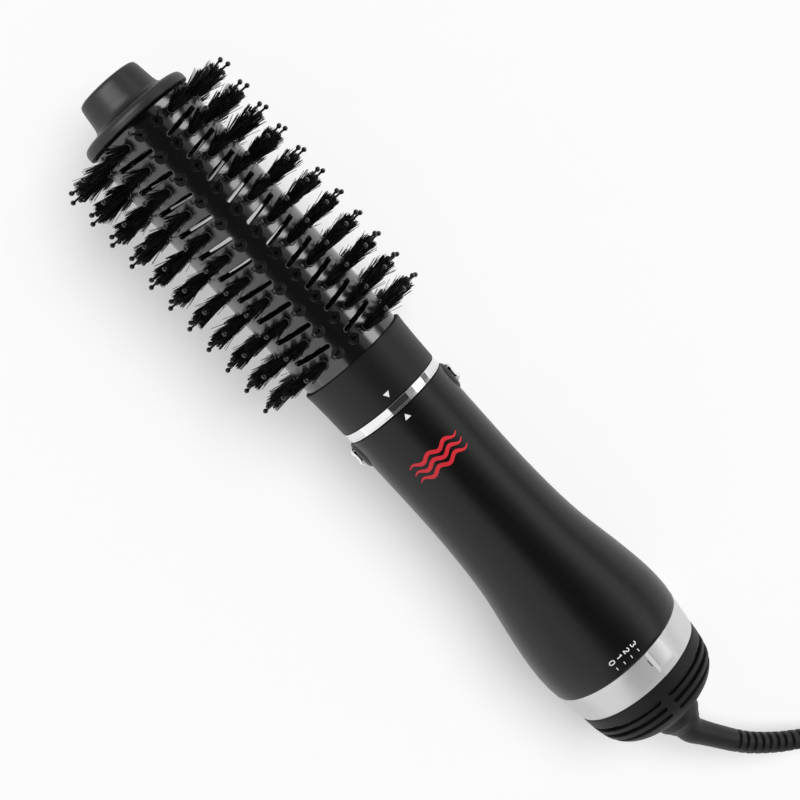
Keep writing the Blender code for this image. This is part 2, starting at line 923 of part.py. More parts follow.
# ---- cord swivel: bushing in the cap, turning stem with its collar, clip
show(
    turned(
        "swivel_bushing",
        [(353.0, 8.6), (366.4, 8.6), (366.4, 5.3), (353.0, 5.3)],
        16,
    ),
    "inner",
    "brush",
    AXIAL,
)
show(
    turned(
        "cord_swivel",
        [
            (SWIVEL_X[0], 11.2),
            (SWIVEL_X[0] + 0.6, 11.6),
            (370.6, 11.4),
            (373.2, 9.0),
            (SWIVEL_X[1], 8.2),
            (SWIVEL_X[1], 2.7),
            (349.0, 2.7),
            (349.0, 5.0),
            (SWIVEL_X[0], 5.0),
        ],
        16,
    ),
    "collar",
    "swivel",
    AXIAL,
)
show(
    turned(
        "swivel_clip",
        [(350.6, 7.2), (352.6, 7.2), (352.6, 5.3), (350.6, 5.3)],
        12,
    ),
    "steel",
    "swivel",
    AXIAL,
)

# two leads from the swivel to the board
for name, y in (("lead_live", 1.6), ("lead_neutral", -1.6)):
    route = smooth(
        [
            (347.0, y * 0.75, 0.0),
            (340.0, y * 0.9, 1.5),
            (331.0, y * 1.6, 2.5),
            (322.0, y * 2.4, 3.2),
            (319.0, y * 2.6, 3.0),
        ],
        9,
    )
    show(rod(name, route, 0.9, 1), "lead", "brush")

# =============================================================== the cord
SWIVEL_END = axis_point(SWIVEL_X[1] + GAP) / MM
# boot: leaves along the axis, bends to the brush's left and droops
BOOT_STEPS = [
    (0.0, 0.0, 0.0),
    (4.2, 0.3, -0.3),
    (9.2, 2.9, -1.5),
    (16.9, 7.4, -3.4),
    (24.2, 11.8, -5.4),
    (31.1, 16.8, -7.7),
    (40.2, 25.3, -11.3),
    (47.4, 33.7, -14.4),
    (48.6, 35.4, -15.0),
]
boot_route = smooth(
    [SWIVEL_END + Vector(s) for s in BOOT_STEPS], BOOT_LENGTH_POINTS
)
boot_radii = []
for i in range(BOOT_LENGTH_POINTS):
    t = i / (BOOT_LENGTH_POINTS - 1)
    boot_radii.append(7.4 - 6.2 * t if t < 0.35 else 5.23 - 0.75 * (t - 0.35) / 0.65)
show(
    rod("strain_relief_boot", boot_route, 5.0, 2, boot_radii),
    "cord",
    "swivel",
    Matrix.Identity(4),
)

BOOT_END = boot_route[-1]
boot_dir = (boot_route[-1] - boot_route[-2]).normalized()
CORD_START = BOOT_END + boot_dir * GAP

# the lead runs down to the surface and sweeps round to the coil's outer turn
heading = math.atan2(boot_dir.y, boot_dir.x)
TURN_R = 132.0
turn_centre = CORD_START + Vector((math.sin(heading), -math.cos(heading), 0)) * TURN_R
COIL = Vector((turn_centre.x, turn_centre.y + TURN_R - COIL_OUT_R, 0))
# the heading at which the lead comes up against the coil's outer side
reach = COIL_OUT_R + 2 * CORD_R + 0.45
last_heading = math.acos(
    (TURN_R**2 + (TURN_R - COIL_OUT_R) ** 2 - reach**2)
    / (2 * TURN_R * (TURN_R - COIL_OUT_R))
)
LEAD_POINTS = 18
lead_route = []
for i in range(LEAD_POINTS):
    f = i / (LEAD_POINTS - 1)
    h = heading + (last_heading - heading) * f
    p = turn_centre + Vector((-math.sin(h), math.cos(h), 0)) * TURN_R
    drop = min(1.0, f / 0.6)
    low = CORD_R + 0.1
    # a soft S down to the surface, leaving at the boot's own slope
    s1 = drop * drop * (3 - 2 * drop)
    p.z = CORD_START.z + (low - CORD_START.z) * (0.45 * s1 + 0.55 * (1 - (1 - drop) ** 2))
    lead_route.append(p)
show(
    rod("power_cord", lead_route, CORD_R, 2),
    "cord",
    "swivel",
    Matrix.Identity(4),
)

# the rest of the lead, wound in a coil
coil = turned(
    "power_cord_coil",
    [
        (COIL_LIFT, COIL_IN_R - CORD_R + 1.5),
        (COIL_LIFT, COIL_OUT_R + CORD_R - 1.5),
        (COIL_LIFT + 1.7, COIL_OUT_R + CORD_R),
        (COIL_TOP_Z - 1.7, COIL_OUT_R + CORD_R),
        (COIL_TOP_Z, COIL_OUT_R + CORD_R - 1.5),
        (COIL_TOP_Z, COIL_IN_R - CORD_R + 1.5),
        (COIL_TOP_Z - 1.7, COIL_IN_R - CORD_R),
        (COIL_LIFT + 1.7, COIL_IN_R - CORD_R),
    ],
    32,
)
show(coil, "cord", "swivel", Matrix.Translation(COIL * MM))

# strap round the coil's bundle
TIE_ANGLE = math.radians(-30)


def strap_loop(grow):
    """The strap's outline round the bundle, across the coil's ring."""
    a, b = COIL_IN_R - CORD_R - 1.2 - grow, COIL_OUT_R + CORD_R + 0.4 + grow
    low, top = COIL_LIFT - 0.3 - grow, COIL_TOP_Z + 0.3 + grow
    return [(a, low), (b, low), (b, top - 2.0), (b - 2.2, top), (a + 2.2, top), (a, top - 2.0)]


tie = flat("cord_tie", [strap_loop(0.45), strap_loop(0.0)], 11.0)
show(
    tie,
    "tuft",
    "swivel",
    Matrix.Translation(COIL * MM)
    @ Matrix.Rotation(TIE_ANGLE, 4, "Z")
    @ Matrix.Rotation(math.radians(90), 4, "X"),
)

# plug: lies on the coil, joined to it by the lead's last stretch
PLUG_HEADING = math.radians(23)
PLUG_Z = COIL_TOP_Z + 0.35 + 7.3
plug_frame = (
    Matrix.Translation(COIL * MM)
    @ Matrix.Rotation(PLUG_HEADING, 4, "Z")
    @ Matrix.Translation((0.0, 0.033, PLUG_Z * MM))
)
# own +X is the way the blades point
plug = flat(
    "plug_body",
    [[(-2.0, -11.5), (24.0, -11.5), (27.0, -9.5), (27.0, 9.5), (24.0, 11.5), (-2.0, 11.5), (-6.0, 7.0), (-6.0, -7.0)]],
    14.6,
)
show(plug, "cord", "swivel", plug_frame)
neck = rod(
    "plug_neck", [(-20.0, 0, 0), (-12.0, 0, 0), (-4.0, 0, 0)], 5.0, 2, [4.3, 4.9, 5.9]
)
neck_mesh = solidified("plug_neck_solid", neck.data)
boolean(plug, as_cutter(neck_mesh, plug_frame), "UNION")
for name, y, w in (("plug_blade_wide", 6.35, 7.9), ("plug_blade_narrow", -6.35, 6.3)):
    blade = box(name, (27.3, y - 0.75, -w / 2), (44.8, y + 0.75, w / 2))
    show(blade, "brass", "swivel", plug_frame)

tail_end = plug_frame @ (Vector((-20.3, 0, 0)) * MM) / MM
tail_dir = Vector((math.cos(PLUG_HEADING), math.sin(PLUG_HEADING), 0))
left_of = Vector((-tail_dir.y, tail_dir.x, 0))
TAIL_R, TAIL_TURN = 27.7, math.radians(85)
tail_steps = []
for k in range(9):
    a = TAIL_TURN * (1 - k / 8)
    # a clockwise turn on top of the coil, which ends along the plug's axis
    p = tail_end - tail_dir * (TAIL_R * math.sin(a)) - left_of * (
        TAIL_R * (1 - math.cos(a))
    )
    p.z = PLUG_Z - (PLUG_Z - COIL_TOP_Z - CORD_R - 0.35) * (a / TAIL_TURN) ** 1.5
    tail_steps.append(p)
show(
    rod("power_cord_tail", tail_steps, CORD_R, 2),
    "cord",
    "swivel",
    Matrix.Identity(4),
)
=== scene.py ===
import json
import math
import random

import bmesh
import bpy
from mathutils import Matrix, Vector

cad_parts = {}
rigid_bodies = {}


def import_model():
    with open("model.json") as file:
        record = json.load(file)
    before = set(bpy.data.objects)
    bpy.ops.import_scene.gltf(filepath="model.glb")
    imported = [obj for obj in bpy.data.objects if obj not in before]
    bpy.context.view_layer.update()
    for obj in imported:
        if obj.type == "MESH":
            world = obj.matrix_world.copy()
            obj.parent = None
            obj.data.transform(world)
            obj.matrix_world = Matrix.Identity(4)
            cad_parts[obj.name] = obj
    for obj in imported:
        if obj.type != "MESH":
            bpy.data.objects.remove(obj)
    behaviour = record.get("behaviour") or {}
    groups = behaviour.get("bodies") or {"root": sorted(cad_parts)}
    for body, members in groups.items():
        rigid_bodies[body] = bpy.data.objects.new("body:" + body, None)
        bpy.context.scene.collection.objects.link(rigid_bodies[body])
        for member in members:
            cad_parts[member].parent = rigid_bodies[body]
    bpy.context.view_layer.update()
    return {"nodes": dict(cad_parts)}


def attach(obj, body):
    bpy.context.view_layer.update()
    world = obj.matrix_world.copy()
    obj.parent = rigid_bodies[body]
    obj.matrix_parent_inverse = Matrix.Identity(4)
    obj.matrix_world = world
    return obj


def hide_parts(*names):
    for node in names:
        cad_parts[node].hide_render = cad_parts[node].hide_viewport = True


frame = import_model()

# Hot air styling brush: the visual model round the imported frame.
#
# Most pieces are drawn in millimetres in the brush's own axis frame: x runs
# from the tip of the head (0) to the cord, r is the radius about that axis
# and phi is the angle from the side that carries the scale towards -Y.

MM = 0.001

# ------------------------------------------------- dimensions shared with CAD
ROW_FIRST_X, ROW_PITCH, ROWS, TUFTS = 26.6, 11.77, 11, 18
TUFT_R, TUFT_W = 44.3, 4.2
BARREL_R, BARREL_BORE_R = 24.7, 18.5
HANDLE_WIDE_X, HANDLE_WIDE_R = 318.0, 34.6
CORD_D = 6.8
CORD_R = CORD_D / 2
COIL_LIFT = 0.75
COIL_IN_R, COIL_PITCH, COIL_TURNS = 27.0, 6.9, 3.25
COIL_OUT_R = COIL_IN_R + COIL_PITCH * COIL_TURNS
COIL_TOP_Z = COIL_LIFT + 2 * CORD_D + 0.05

CONTACT_X = ROW_FIRST_X + ROW_PITCH * (ROWS - 1) + TUFT_W / 2
TUFT_REACH = TUFT_R * math.cos(math.radians(10)) + TUFT_W / 2 * math.sin(math.radians(10))
TILT = math.atan2(TUFT_REACH - HANDLE_WIDE_R, HANDLE_WIDE_X - CONTACT_X)
AXIS_Z0 = HANDLE_WIDE_X * math.sin(TILT) + HANDLE_WIDE_R * math.cos(TILT)
AXIS_X0 = -0.5 * (374.9 * math.cos(TILT) + 8.2 * math.sin(TILT) - 14.0 * math.sin(TILT))
AXIS_FRAME = Matrix.Translation(Vector((AXIS_X0, 0, AXIS_Z0)) * MM) @ Matrix.Rotation(TILT, 4, "Y")
WORLD = Matrix.Identity(4)
HEAD_TURN = -2.0  # degrees that the rows and slots sit round from the scale's line

scene = bpy.context.scene


def axis_point(x, y=0.0, z=0.0):
    return (AXIS_FRAME @ (Vector((x, y, z)) * MM)) / MM


# ============================================================== the camera
cam_data = bpy.data.cameras.new("view")
cam_data.lens = 69.75
cam_data.sensor_width = 36.0
cam_data.clip_start = 0.01
cam_data.clip_end = 100
camera = bpy.data.objects.new("view", cam_data)
scene.collection.objects.link(camera)
scene.camera = camera
along = Vector((math.cos(TILT), 0, -math.sin(TILT)))
normal = Vector((math.sin(TILT), 0, math.cos(TILT)))
T0, ROLL = math.radians(8.6), math.radians(47.85)
sight = -math.cos(T0) * normal + math.sin(T0) * along
eu = math.cos(T0) * along + math.sin(T0) * normal
ev = Vector((0, -1, 0))
right = math.cos(ROLL) * eu - math.sin(ROLL) * ev
down = math.sin(ROLL) * eu + math.cos(ROLL) * ev
view = Matrix((right, -down, -sight)).transposed().to_4x4()
view.translation = axis_point(80.2, 2.42, 658.75) * MM
camera.matrix_world = view


# ============================================================== materials
def finish_of(
    name,
    rgb,
    rough,
    metal=0.0,
    ior=1.5,
    grain=2200.0,
    bump=0.10,
    depth=0.00006,
    tint=0.18,
    spread=0.08,
    stretch=(1.0, 1.0, 1.0),
    broad=60.0,
    coat=0.0,
    sheen=0.0,
    wear=0.0,
    spec=0.5,
    aniso=0.0,
):
    """A moulded, drawn or plated finish: a fine grain that moves the normal
    and the roughness, and a broad mottle that moves the colour."""
    m = bpy.data.materials.new(name)
    m.use_nodes = True
    m.diffuse_color = (*rgb, 1)
    tree = m.node_tree
    links, nodes = tree.links, tree.nodes
    shader = nodes["Principled BSDF"]
    shader.inputs["Metallic"].default_value = metal
    shader.inputs["IOR"].default_value = ior
    shader.inputs["Coat Weight"].default_value = coat
    shader.inputs["Coat Roughness"].default_value = 0.15
    shader.inputs["Sheen Weight"].default_value = sheen
    shader.inputs["Specular IOR Level"].default_value = spec
    shader.inputs["Anisotropic"].default_value = aniso
    where = nodes.new("ShaderNodeTexCoord")
    place = nodes.new("ShaderNodeMapping")
    place.inputs["Scale"].default_value = stretch
    links.new(where.outputs["Object"], place.inputs["Vector"])
    fine = nodes.new("ShaderNodeTexNoise")
    fine.inputs["Scale"].default_value = grain
    fine.inputs["Detail"].default_value = 3.0
    fine.inputs["Roughness"].default_value = 0.6
    links.new(place.outputs["Vector"], fine.inputs["Vector"])
    mottle = nodes.new("ShaderNodeTexNoise")
    mottle.inputs["Scale"].default_value = broad
    mottle.inputs["Detail"].default_value = 4.0
    links.new(place.outputs["Vector"], mottle.inputs["Vector"])
    ramp = nodes.new("ShaderNodeMix")
    ramp.data_type = "RGBA"
    ramp.inputs["A"].default_value = (*[c * (1 - tint) for c in rgb], 1)
    ramp.inputs["B"].default_value = (*[min(1, c * (1 + tint)) for c in rgb], 1)
    links.new(mottle.outputs["Fac"], ramp.inputs["Factor"])
    colour = ramp.outputs["Result"]
    if wear:
        point = nodes.new("ShaderNodeNewGeometry")
        edge = nodes.new("ShaderNodeMapRange")
        edge.inputs["From Min"].default_value = 0.53
        edge.inputs["From Max"].default_value = 0.62
        edge.inputs["To Min"].default_value = 0.0
        edge.inputs["To Max"].default_value = wear
        links.new(point.outputs["Pointiness"], edge.inputs["Value"])
        worn = nodes.new("ShaderNodeMix")
        worn.data_type = "RGBA"
        worn.inputs["B"].default_value = (*[min(1, c * 2.4 + 0.02) for c in rgb], 1)
        links.new(edge.outputs["Result"], worn.inputs["Factor"])
        links.new(colour, worn.inputs["A"])
        colour = worn.outputs["Result"]
    links.new(colour, shader.inputs["Base Color"])
    gloss = nodes.new("ShaderNodeMapRange")
    gloss.inputs["From Min"].default_value = 0.25
    gloss.inputs["From Max"].default_value = 0.75
    gloss.inputs["To Min"].default_value = max(0.02, rough - spread)
    gloss.inputs["To Max"].default_value = min(1.0, rough + spread)
    both = nodes.new("ShaderNodeMath")
    both.operation = "ADD"
    half = nodes.new("ShaderNodeMath")
    half.operation = "MULTIPLY"
    half.inputs[1].default_value = 0.5
    links.new(fine.outputs["Fac"], both.inputs[0])
    links.new(mottle.outputs["Fac"], both.inputs[1])
    links.new(both.outputs["Value"], half.inputs[0])
    links.new(half.outputs["Value"], gloss.inputs["Value"])
    links.new(gloss.outputs["Result"], shader.inputs["Roughness"])
    relief = nodes.new("ShaderNodeBump")
    relief.inputs["Strength"].default_value = bump
    relief.inputs["Distance"].default_value = depth
    links.new(fine.outputs["Fac"], relief.inputs["Height"])
    links.new(relief.outputs["Normal"], shader.inputs["Normal"])
    return m


MAT = {
    "knob": finish_of("knob_charcoal", (0.0050, 0.0050, 0.0053), 0.42, wear=0.12, grain=3200, bump=0.25, spec=0.46),
    "collar": finish_of("collar_matte", (0.0040, 0.0040, 0.0044), 0.48, wear=0.12, grain=3600, bump=0.3, spec=0.38),
    "tail": finish_of("rear_cap_matte", (0.0048, 0.0048, 0.0052), 0.56, wear=0.4, grain=3200, bump=0.25, spec=0.3),
    "barrel": finish_of(
        "barrel_gloss", (0.002, 0.002, 0.0023), 0.17, ior=1.9, grain=900, bump=0.16, depth=0.00005,
        stretch=(0.12, 1.0, 1.0), spread=0.06, spec=0.45,
    ),
    "boss": finish_of("boss_gloss", (0.002, 0.002, 0.0023), 0.22, ior=1.6, grain=1500, bump=0.1, spec=0.4),
    "pin": finish_of("pin_nylon", (0.002, 0.002, 0.0023), 0.16, grain=1800, bump=0.08, spec=0.5),
    "bristle": finish_of("bristle_nylon", (0.0022, 0.0022, 0.0022), 0.45, grain=4000, bump=0.15, tint=0.5, spec=0.3),
    "chrome": finish_of(
        "chrome_plate", (0.80, 0.80, 0.81), 0.07, metal=1.0, grain=700, bump=0.035, depth=0.00003, tint=0.03,
        spread=0.03,
    ),
    "button": finish_of(
        "chrome_button_plate", (0.78, 0.78, 0.80), 0.09, metal=1.0, grain=900, bump=0.04, depth=0.00003, tint=0.03,
        spread=0.03,
    ),
    "bezel": finish_of("bezel_black", (0.006, 0.006, 0.0065), 0.36, wear=0.3, grain=2600, bump=0.15),
    "grip": finish_of(
        "soft_touch_black", (0.0018, 0.0018, 0.0019), 0.355, grain=5200, bump=0.16, depth=0.00004, tint=0.15,
        spread=0.03, spec=0.36,
    ),
    "silver": finish_of(
        "ring_satin_silver", (0.60, 0.60, 0.605), 0.33, metal=0.58, grain=2600, bump=0.03, depth=0.00002, tint=0.012,
        spread=0.02, stretch=(1.0, 0.25, 0.25),
    ),
    "rubber": finish_of("boot_rubber", (0.006, 0.006, 0.0065), 0.50, grain=2600, bump=0.25, wear=0.25, spec=0.45),
    "cord": finish_of("cord_pvc", (0.005, 0.005, 0.0055), 0.46, grain=1900, bump=0.3, depth=0.0001, spec=0.45),
    "plug": finish_of("plug_pvc", (0.008, 0.008, 0.0085), 0.42, grain=2400, bump=0.25, wear=0.3),
    "brass": finish_of(
        "blade_brass", (0.72, 0.56, 0.27), 0.28, metal=1.0, grain=1500, bump=0.1, stretch=(0.2, 1, 1), tint=0.08,
    ),
    "strap": finish_of(
        "strap_weave", (0.012, 0.012, 0.013), 0.85, grain=1400, bump=0.9, depth=0.0004, tint=0.5, sheen=0.25,
    ),
    "mark": finish_of("print_grey", (0.70, 0.70, 0.70), 0.5, grain=2500, bump=0.1, tint=0.06),
    "red": finish_of("print_red", (0.52, 0.012, 0.022), 0.42, grain=2500, bump=0.1, tint=0.08),
    # painted shade: near-black that stands for the shade inside the boot's pit and inside the selector's engraved
    # pointer groove
    "dark": finish_of("painted_recess_shade", (0.004, 0.004, 0.004), 0.6, grain=2500, bump=0.1),
    "tube": finish_of("outlet_plastic", (0.035, 0.033, 0.032), 0.5, grain=1800, bump=0.25, tint=0.25),
    "inner": finish_of("inner_moulding", (0.045, 0.045, 0.048), 0.55, grain=1600, bump=0.25, tint=0.2),
    "mica": finish_of(
        "mica_sheet", (0.55, 0.47, 0.32), 0.55, grain=900, bump=0.5, depth=0.0002, tint=0.3, stretch=(0.3, 1, 1),
    ),
    "wire": finish_of("resistance_wire", (0.42, 0.36, 0.30), 0.35, metal=1.0, grain=2500, bump=0.2, tint=0.3),
    "steel": finish_of(
        "drawn_steel", (0.50, 0.50, 0.52), 0.30, metal=1.0, grain=1600, bump=0.12, tint=0.08, stretch=(0.2, 1, 1),
    ),
    "screen": finish_of("lint_screen", (0.06, 0.06, 0.065), 0.5, metal=0.6, grain=1400, bump=0.9, depth=0.0004),
    "board": finish_of("board_green", (0.02, 0.11, 0.045), 0.45, grain=900, bump=0.35, tint=0.35),
    "lead": finish_of("lead_silicone", (0.22, 0.22, 0.24), 0.5, grain=1800, bump=0.2, tint=0.15),
}


# ============================================================== mesh helpers
def polar(x, r, phi):
    """A point at x on the axis, r from it, phi degrees round, in mm."""
    a = math.radians(phi)
    return (x, -r * math.sin(a), r * math.cos(a))


def clean(mesh, sharp, weld=True):
    bm = bmesh.new()
    bm.from_mesh(mesh)
    if weld:
        bmesh.ops.remove_doubles(bm, verts=bm.verts, dist=1e-6)
        bmesh.ops.dissolve_degenerate(bm, edges=bm.edges, dist=1e-7)
    bmesh.ops.recalc_face_normals(bm, faces=bm.faces)
    bm.to_mesh(mesh)
    bm.free()
    mesh.shade_smooth()
    mesh.set_sharp_from_angle(angle=math.radians(sharp))
    mesh.update()


def piece(name, parts, mat, body, stands_for=(), world=AXIS_FRAME, sharp=32.0, weld=True):
    """One piece of the brush from one or more (verts in mm, faces) lists."""
    verts, faces = [], []
    for v, f in parts if isinstance(parts, list) else [parts]:
        start = len(verts)
        verts += [(x * MM, y * MM, z * MM) for x, y, z in v]
        faces += [tuple(i + start for i in face) for face in f]
    mesh = bpy.data.meshes.new(name)
    mesh.from_pydata(verts, [], faces)
    clean(mesh, sharp, weld)
    obj = bpy.data.objects.new(name, mesh)
    scene.collection.objects.link(obj)
    return dress(obj, mat, body, stands_for, world)


def dress(obj, mat, body, stands_for=(), world=AXIS_FRAME):
    obj.matrix_world = world
    obj.data.materials.clear()
    obj.data.materials.append(MAT[mat])
    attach(obj, body)
    if stands_for:
        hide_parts(*stands_for)
    return obj


def loft(rings, ring_closed=True, path_closed=False, caps=True):
    """Rings of points joined one after another."""
    n, m = len(rings[0]), len(rings)
    verts = [tuple(p) for ring in rings for p in ring]
    faces = []
    for i in range(m if path_closed else m - 1):
        a, b = i * n, ((i + 1) % m) * n
        for k in range(n if ring_closed else n - 1):
            k2 = (k + 1) % n
            faces.append((a + k, a + k2, b + k2, b + k))
    if caps and not path_closed:
        faces.append(tuple(range(n)))
        faces.append(tuple((m - 1) * n + k for k in reversed(range(n))))
    return verts, faces


def lathe(outline, segments=128, closed=True, at=polar):
    """A turned shape; an open outline starts and ends on the axis."""
    verts, rows, faces = [], [], []
    for x, r in outline:
        if r < 1e-6:
            verts.append(at(x, 0.0, 0.0))
            rows.append([len(verts) - 1] * segments)
        else:
            start = len(verts)
            verts += [at(x, r, 360.0 * k / segments) for k in range(segments)]
            rows.append(list(range(start, start + segments)))
    for i in range(len(rows) if closed else len(rows) - 1):
        a, b = rows[i], rows[(i + 1) % len(rows)]
        for k in range(segments):
            k2 = (k + 1) % segments
            face = []
            for v in (a[k], a[k2], b[k2], b[k]):
                if v not in face:
                    face.append(v)
            if len(face) > 2:
                faces.append(tuple(face))
    return verts, faces


def fillet(outline, closed=True, steps=4):
    """Rounds the corners of an outline of (x, r) or (x, r, radius)."""
    out, n = [], len(outline)
    for i, p in enumerate(outline):
        radius = p[2] if len(p) > 2 else 0.0
        if not radius or (not closed and i in (0, n - 1)):
            out.append((p[0], p[1]))
            continue
        q = Vector(p[:2])
        a = Vector(outline[i - 1][:2]) - q
        b = Vector(outline[(i + 1) % n][:2]) - q
        room = min(a.length, b.length) * 0.48
        a.normalize()
        b.normalize()
        angle = a.angle(b)
        if angle > math.pi - 0.02:
            out.append((p[0], p[1]))
            continue
        back = min(radius / math.tan(angle / 2), room)
        radius = back * math.tan(angle / 2)
        centre = q + (a + b).normalized() * (radius / math.sin(angle / 2))
        v0, v1 = q + a * back - centre, q + b * back - centre
        total = v0.angle(v1)
        for k in range(steps + 1):
            w = k / steps
            v = (math.sin((1 - w) * total) * v0 + math.sin(w * total) * v1) / math.sin(total)
            out.append(tuple(centre + v))
    return out


def spline(points, per=8):
    """A smooth line through the points, with per steps between two of them."""
    pts = [Vector(p) for p in points]
    pts = [2 * pts[0] - pts[1], *pts, 2 * pts[-1] - pts[-2]]
    out = []
    for i in range(1, len(pts) - 2):
        p = pts[i - 1 : i + 3]
        # centripetal spacing keeps the line from swinging past its points
        t = [0.0]
        for a, b in zip(p, p[1:]):
            t.append(t[-1] + max((b - a).length, 1e-6) ** 0.5)
        for k in range(per):
            s = t[1] + (t[2] - t[1]) * k / per
            a1 = p[0] * ((t[1] - s) / (t[1] - t[0])) + p[1] * ((s - t[0]) / (t[1] - t[0]))
            a2 = p[1] * ((t[2] - s) / (t[2] - t[1])) + p[2] * ((s - t[1]) / (t[2] - t[1]))
            a3 = p[2] * ((t[3] - s) / (t[3] - t[2])) + p[3] * ((s - t[2]) / (t[3] - t[2]))
            b1 = a1 * ((t[2] - s) / (t[2] - t[0])) + a2 * ((s - t[0]) / (t[2] - t[0]))
            b2 = a2 * ((t[3] - s) / (t[3] - t[1])) + a3 * ((s - t[1]) / (t[3] - t[1]))
            out.append(b1 * ((t[2] - s) / (t[2] - t[1])) + b2 * ((s - t[1]) / (t[2] - t[1])))
    out.append(pts[-2])
    return [tuple(q) for q in out]


def value_at(table, x):
    """Straight interpolation in a table of (x, value)."""
    if x <= table[0][0]:
        return table[0][1]
    for (x0, y0), (x1, y1) in zip(table, table[1:]):
        if x <= x1:
            return y0 + (y1 - y0) * (x - x0) / (x1 - x0)
    return table[-1][1]


def cut(obj, cutters):
    """Subtracts closed meshes, in the same frame, and keeps the result."""
    made = []
    for i, (v, f) in enumerate(cutters):
        mesh = bpy.data.meshes.new(f"cutter_{i}")
        mesh.from_pydata([(x * MM, y * MM, z * MM) for x, y, z in v], [], f)
        clean(mesh, 30)
        c = bpy.data.objects.new(f"cutter_{i}", mesh)
        scene.collection.objects.link(c)
        c.matrix_world = obj.matrix_world
        made.append(c)
        m = obj.modifiers.new("cut", "BOOLEAN")
        m.operation, m.solver, m.object = "DIFFERENCE", "EXACT", c
    bpy.context.view_layer.update()
    graph = bpy.context.evaluated_depsgraph_get()
    mesh = bpy.data.meshes.new_from_object(obj.evaluated_get(graph))
    obj.modifiers.clear()
    old, obj.data = obj.data, mesh
    mesh.materials.clear()
    mesh.materials.append(old.materials[0])
    for c in made:
        bpy.data.objects.remove(c, do_unlink=True)
    mesh.shade_smooth()
    mesh.set_sharp_from_angle(angle=math.radians(32))


# ============================================================== boot and cord
def smooth_route(points, count):
    """count points evenly spaced along the smooth curve through points."""
    pts = [Vector(p) for p in points]
    pts = [2 * pts[0] - pts[1], *pts, 2 * pts[-1] - pts[-2]]
    fine = []
    for i in range(1, len(pts) - 2):
        p0, p1, p2, p3 = pts[i - 1 : i + 3]
        for k in range(24):
            t = k / 24
            fine.append(
                0.5
                * (
                    2 * p1
                    + (p2 - p0) * t
                    + (2 * p0 - 5 * p1 + 4 * p2 - p3) * t * t
                    + (3 * p1 - p0 - 3 * p2 + p3) * t**3
                )
            )
    fine.append(pts[-2])
    dist = [0.0]
    for a, b in zip(fine, fine[1:]):
        dist.append(dist[-1] + (b - a).length)
    out, j = [], 0
    for k in range(count):
        want = dist[-1] * k / (count - 1)
        while j < len(dist) - 2 and dist[j + 1] < want:
            j += 1
        f = (want - dist[j]) / max(dist[j + 1] - dist[j], 1e-9)
        out.append(fine[j].lerp(fine[j + 1], min(max(f, 0.0), 1.0)))
    return out


SWIVEL_END = axis_point(375.2)
BOOT_STEPS = [
    (0.0, 0.0, 0.0),
    (4.2, 0.3, -0.3),
    (9.2, 2.9, -1.5),
    (16.9, 7.4, -3.4),
    (24.2, 11.8, -5.4),
    (31.1, 16.8, -7.7),
    (40.2, 25.3, -11.3),
    (47.4, 33.7, -14.4),
    (48.6, 35.4, -15.0),
]
coarse = smooth_route([SWIVEL_END + Vector(s) for s in BOOT_STEPS], 19)
BOOT_END = coarse[-1]
boot_dir = (coarse[-1] - coarse[-2]).normalized()
CORD_START = BOOT_END + boot_dir * 0.3
heading = math.atan2(boot_dir.y, boot_dir.x)
TURN_R = 132.0
turn_centre = CORD_START + Vector((math.sin(heading), -math.cos(heading), 0)) * TURN_R
COIL = Vector((turn_centre.x, turn_centre.y + TURN_R - COIL_OUT_R, 0))
touch = COIL_OUT_R + 2 * CORD_R + 0.45
last_heading = math.acos(
    (TURN_R**2 + (TURN_R - COIL_OUT_R) ** 2 - touch**2) / (2 * TURN_R * (TURN_R - COIL_OUT_R))
)
LOW_Z = CORD_R + 0.1
LAYER_1 = COIL_LIFT + CORD_R
LAYER_2 = LAYER_1 + CORD_D


def ease(w):
    w = min(1.0, max(0.0, w))
    return w * w * (3 - 2 * w)


route = [BOOT_END - boot_dir * 5.0, BOOT_END - boot_dir * 2.0]
STEPS = 30
for i in range(STEPS):
    h = heading * (1 - i / STEPS)
    f = (heading - h) / (heading - last_heading)
    p = turn_centre + Vector((-math.sin(h), math.cos(h), 0)) * TURN_R
    drop = min(1.0, f / 0.6)
    s1 = drop * drop * (3 - 2 * drop)
    p.z = CORD_START.z + (LOW_Z - CORD_START.z) * (0.45 * s1 + 0.55 * (1 - (1 - drop) ** 2))
    p.z += (LAYER_1 - LOW_Z) * ease((f - 1.0) / 0.6)
    route.append(p)
PER_TURN = 44
total_steps = int(2 * COIL_TURNS * PER_TURN)
for i in range(total_steps):
    turn = i / PER_TURN
    a = math.radians(90 - 360 * turn)
    r = COIL_OUT_R - COIL_PITCH * turn
    if turn > COIL_TURNS:
        r = COIL_IN_R + COIL_PITCH * (turn - COIL_TURNS)
    z = LAYER_1 + (LAYER_2 - LAYER_1) * ease((turn - 3.0) / 0.6)
    route.append(Vector((COIL.x + r * math.cos(a), COIL.y + r * math.sin(a), z)))

PLUG_HEADING = math.radians(23)
PLUG_Z = COIL_TOP_Z + 0.35 + 7.3
PLUG_FRAME = (
    Matrix.Translation(COIL * MM)
    @ Matrix.Rotation(PLUG_HEADING, 4, "Z")
    @ Matrix.Translation((0.0, 0.033, PLUG_Z * MM))
)
tail_end = PLUG_FRAME @ (Vector((-20.3, 0, 0)) * MM) / MM
tail_dir = Vector((math.cos(PLUG_HEADING), math.sin(PLUG_HEADING), 0))
left_of = Vector((-tail_dir.y, tail_dir.x, 0))
TAIL_R, TAIL_TURN = 27.7, math.radians(85)
tail = []
for k in range(15):
    a = TAIL_TURN * (1 - k / 14)
    p = tail_end - tail_dir * (TAIL_R * math.sin(a)) - left_of * (TAIL_R * (1 - math.cos(a)))
    p.z = PLUG_Z - (PLUG_Z - COIL_TOP_Z - CORD_R - 0.35) * (a / TAIL_TURN) ** 1.5
    tail.append(p)
first = tail[0] - COIL
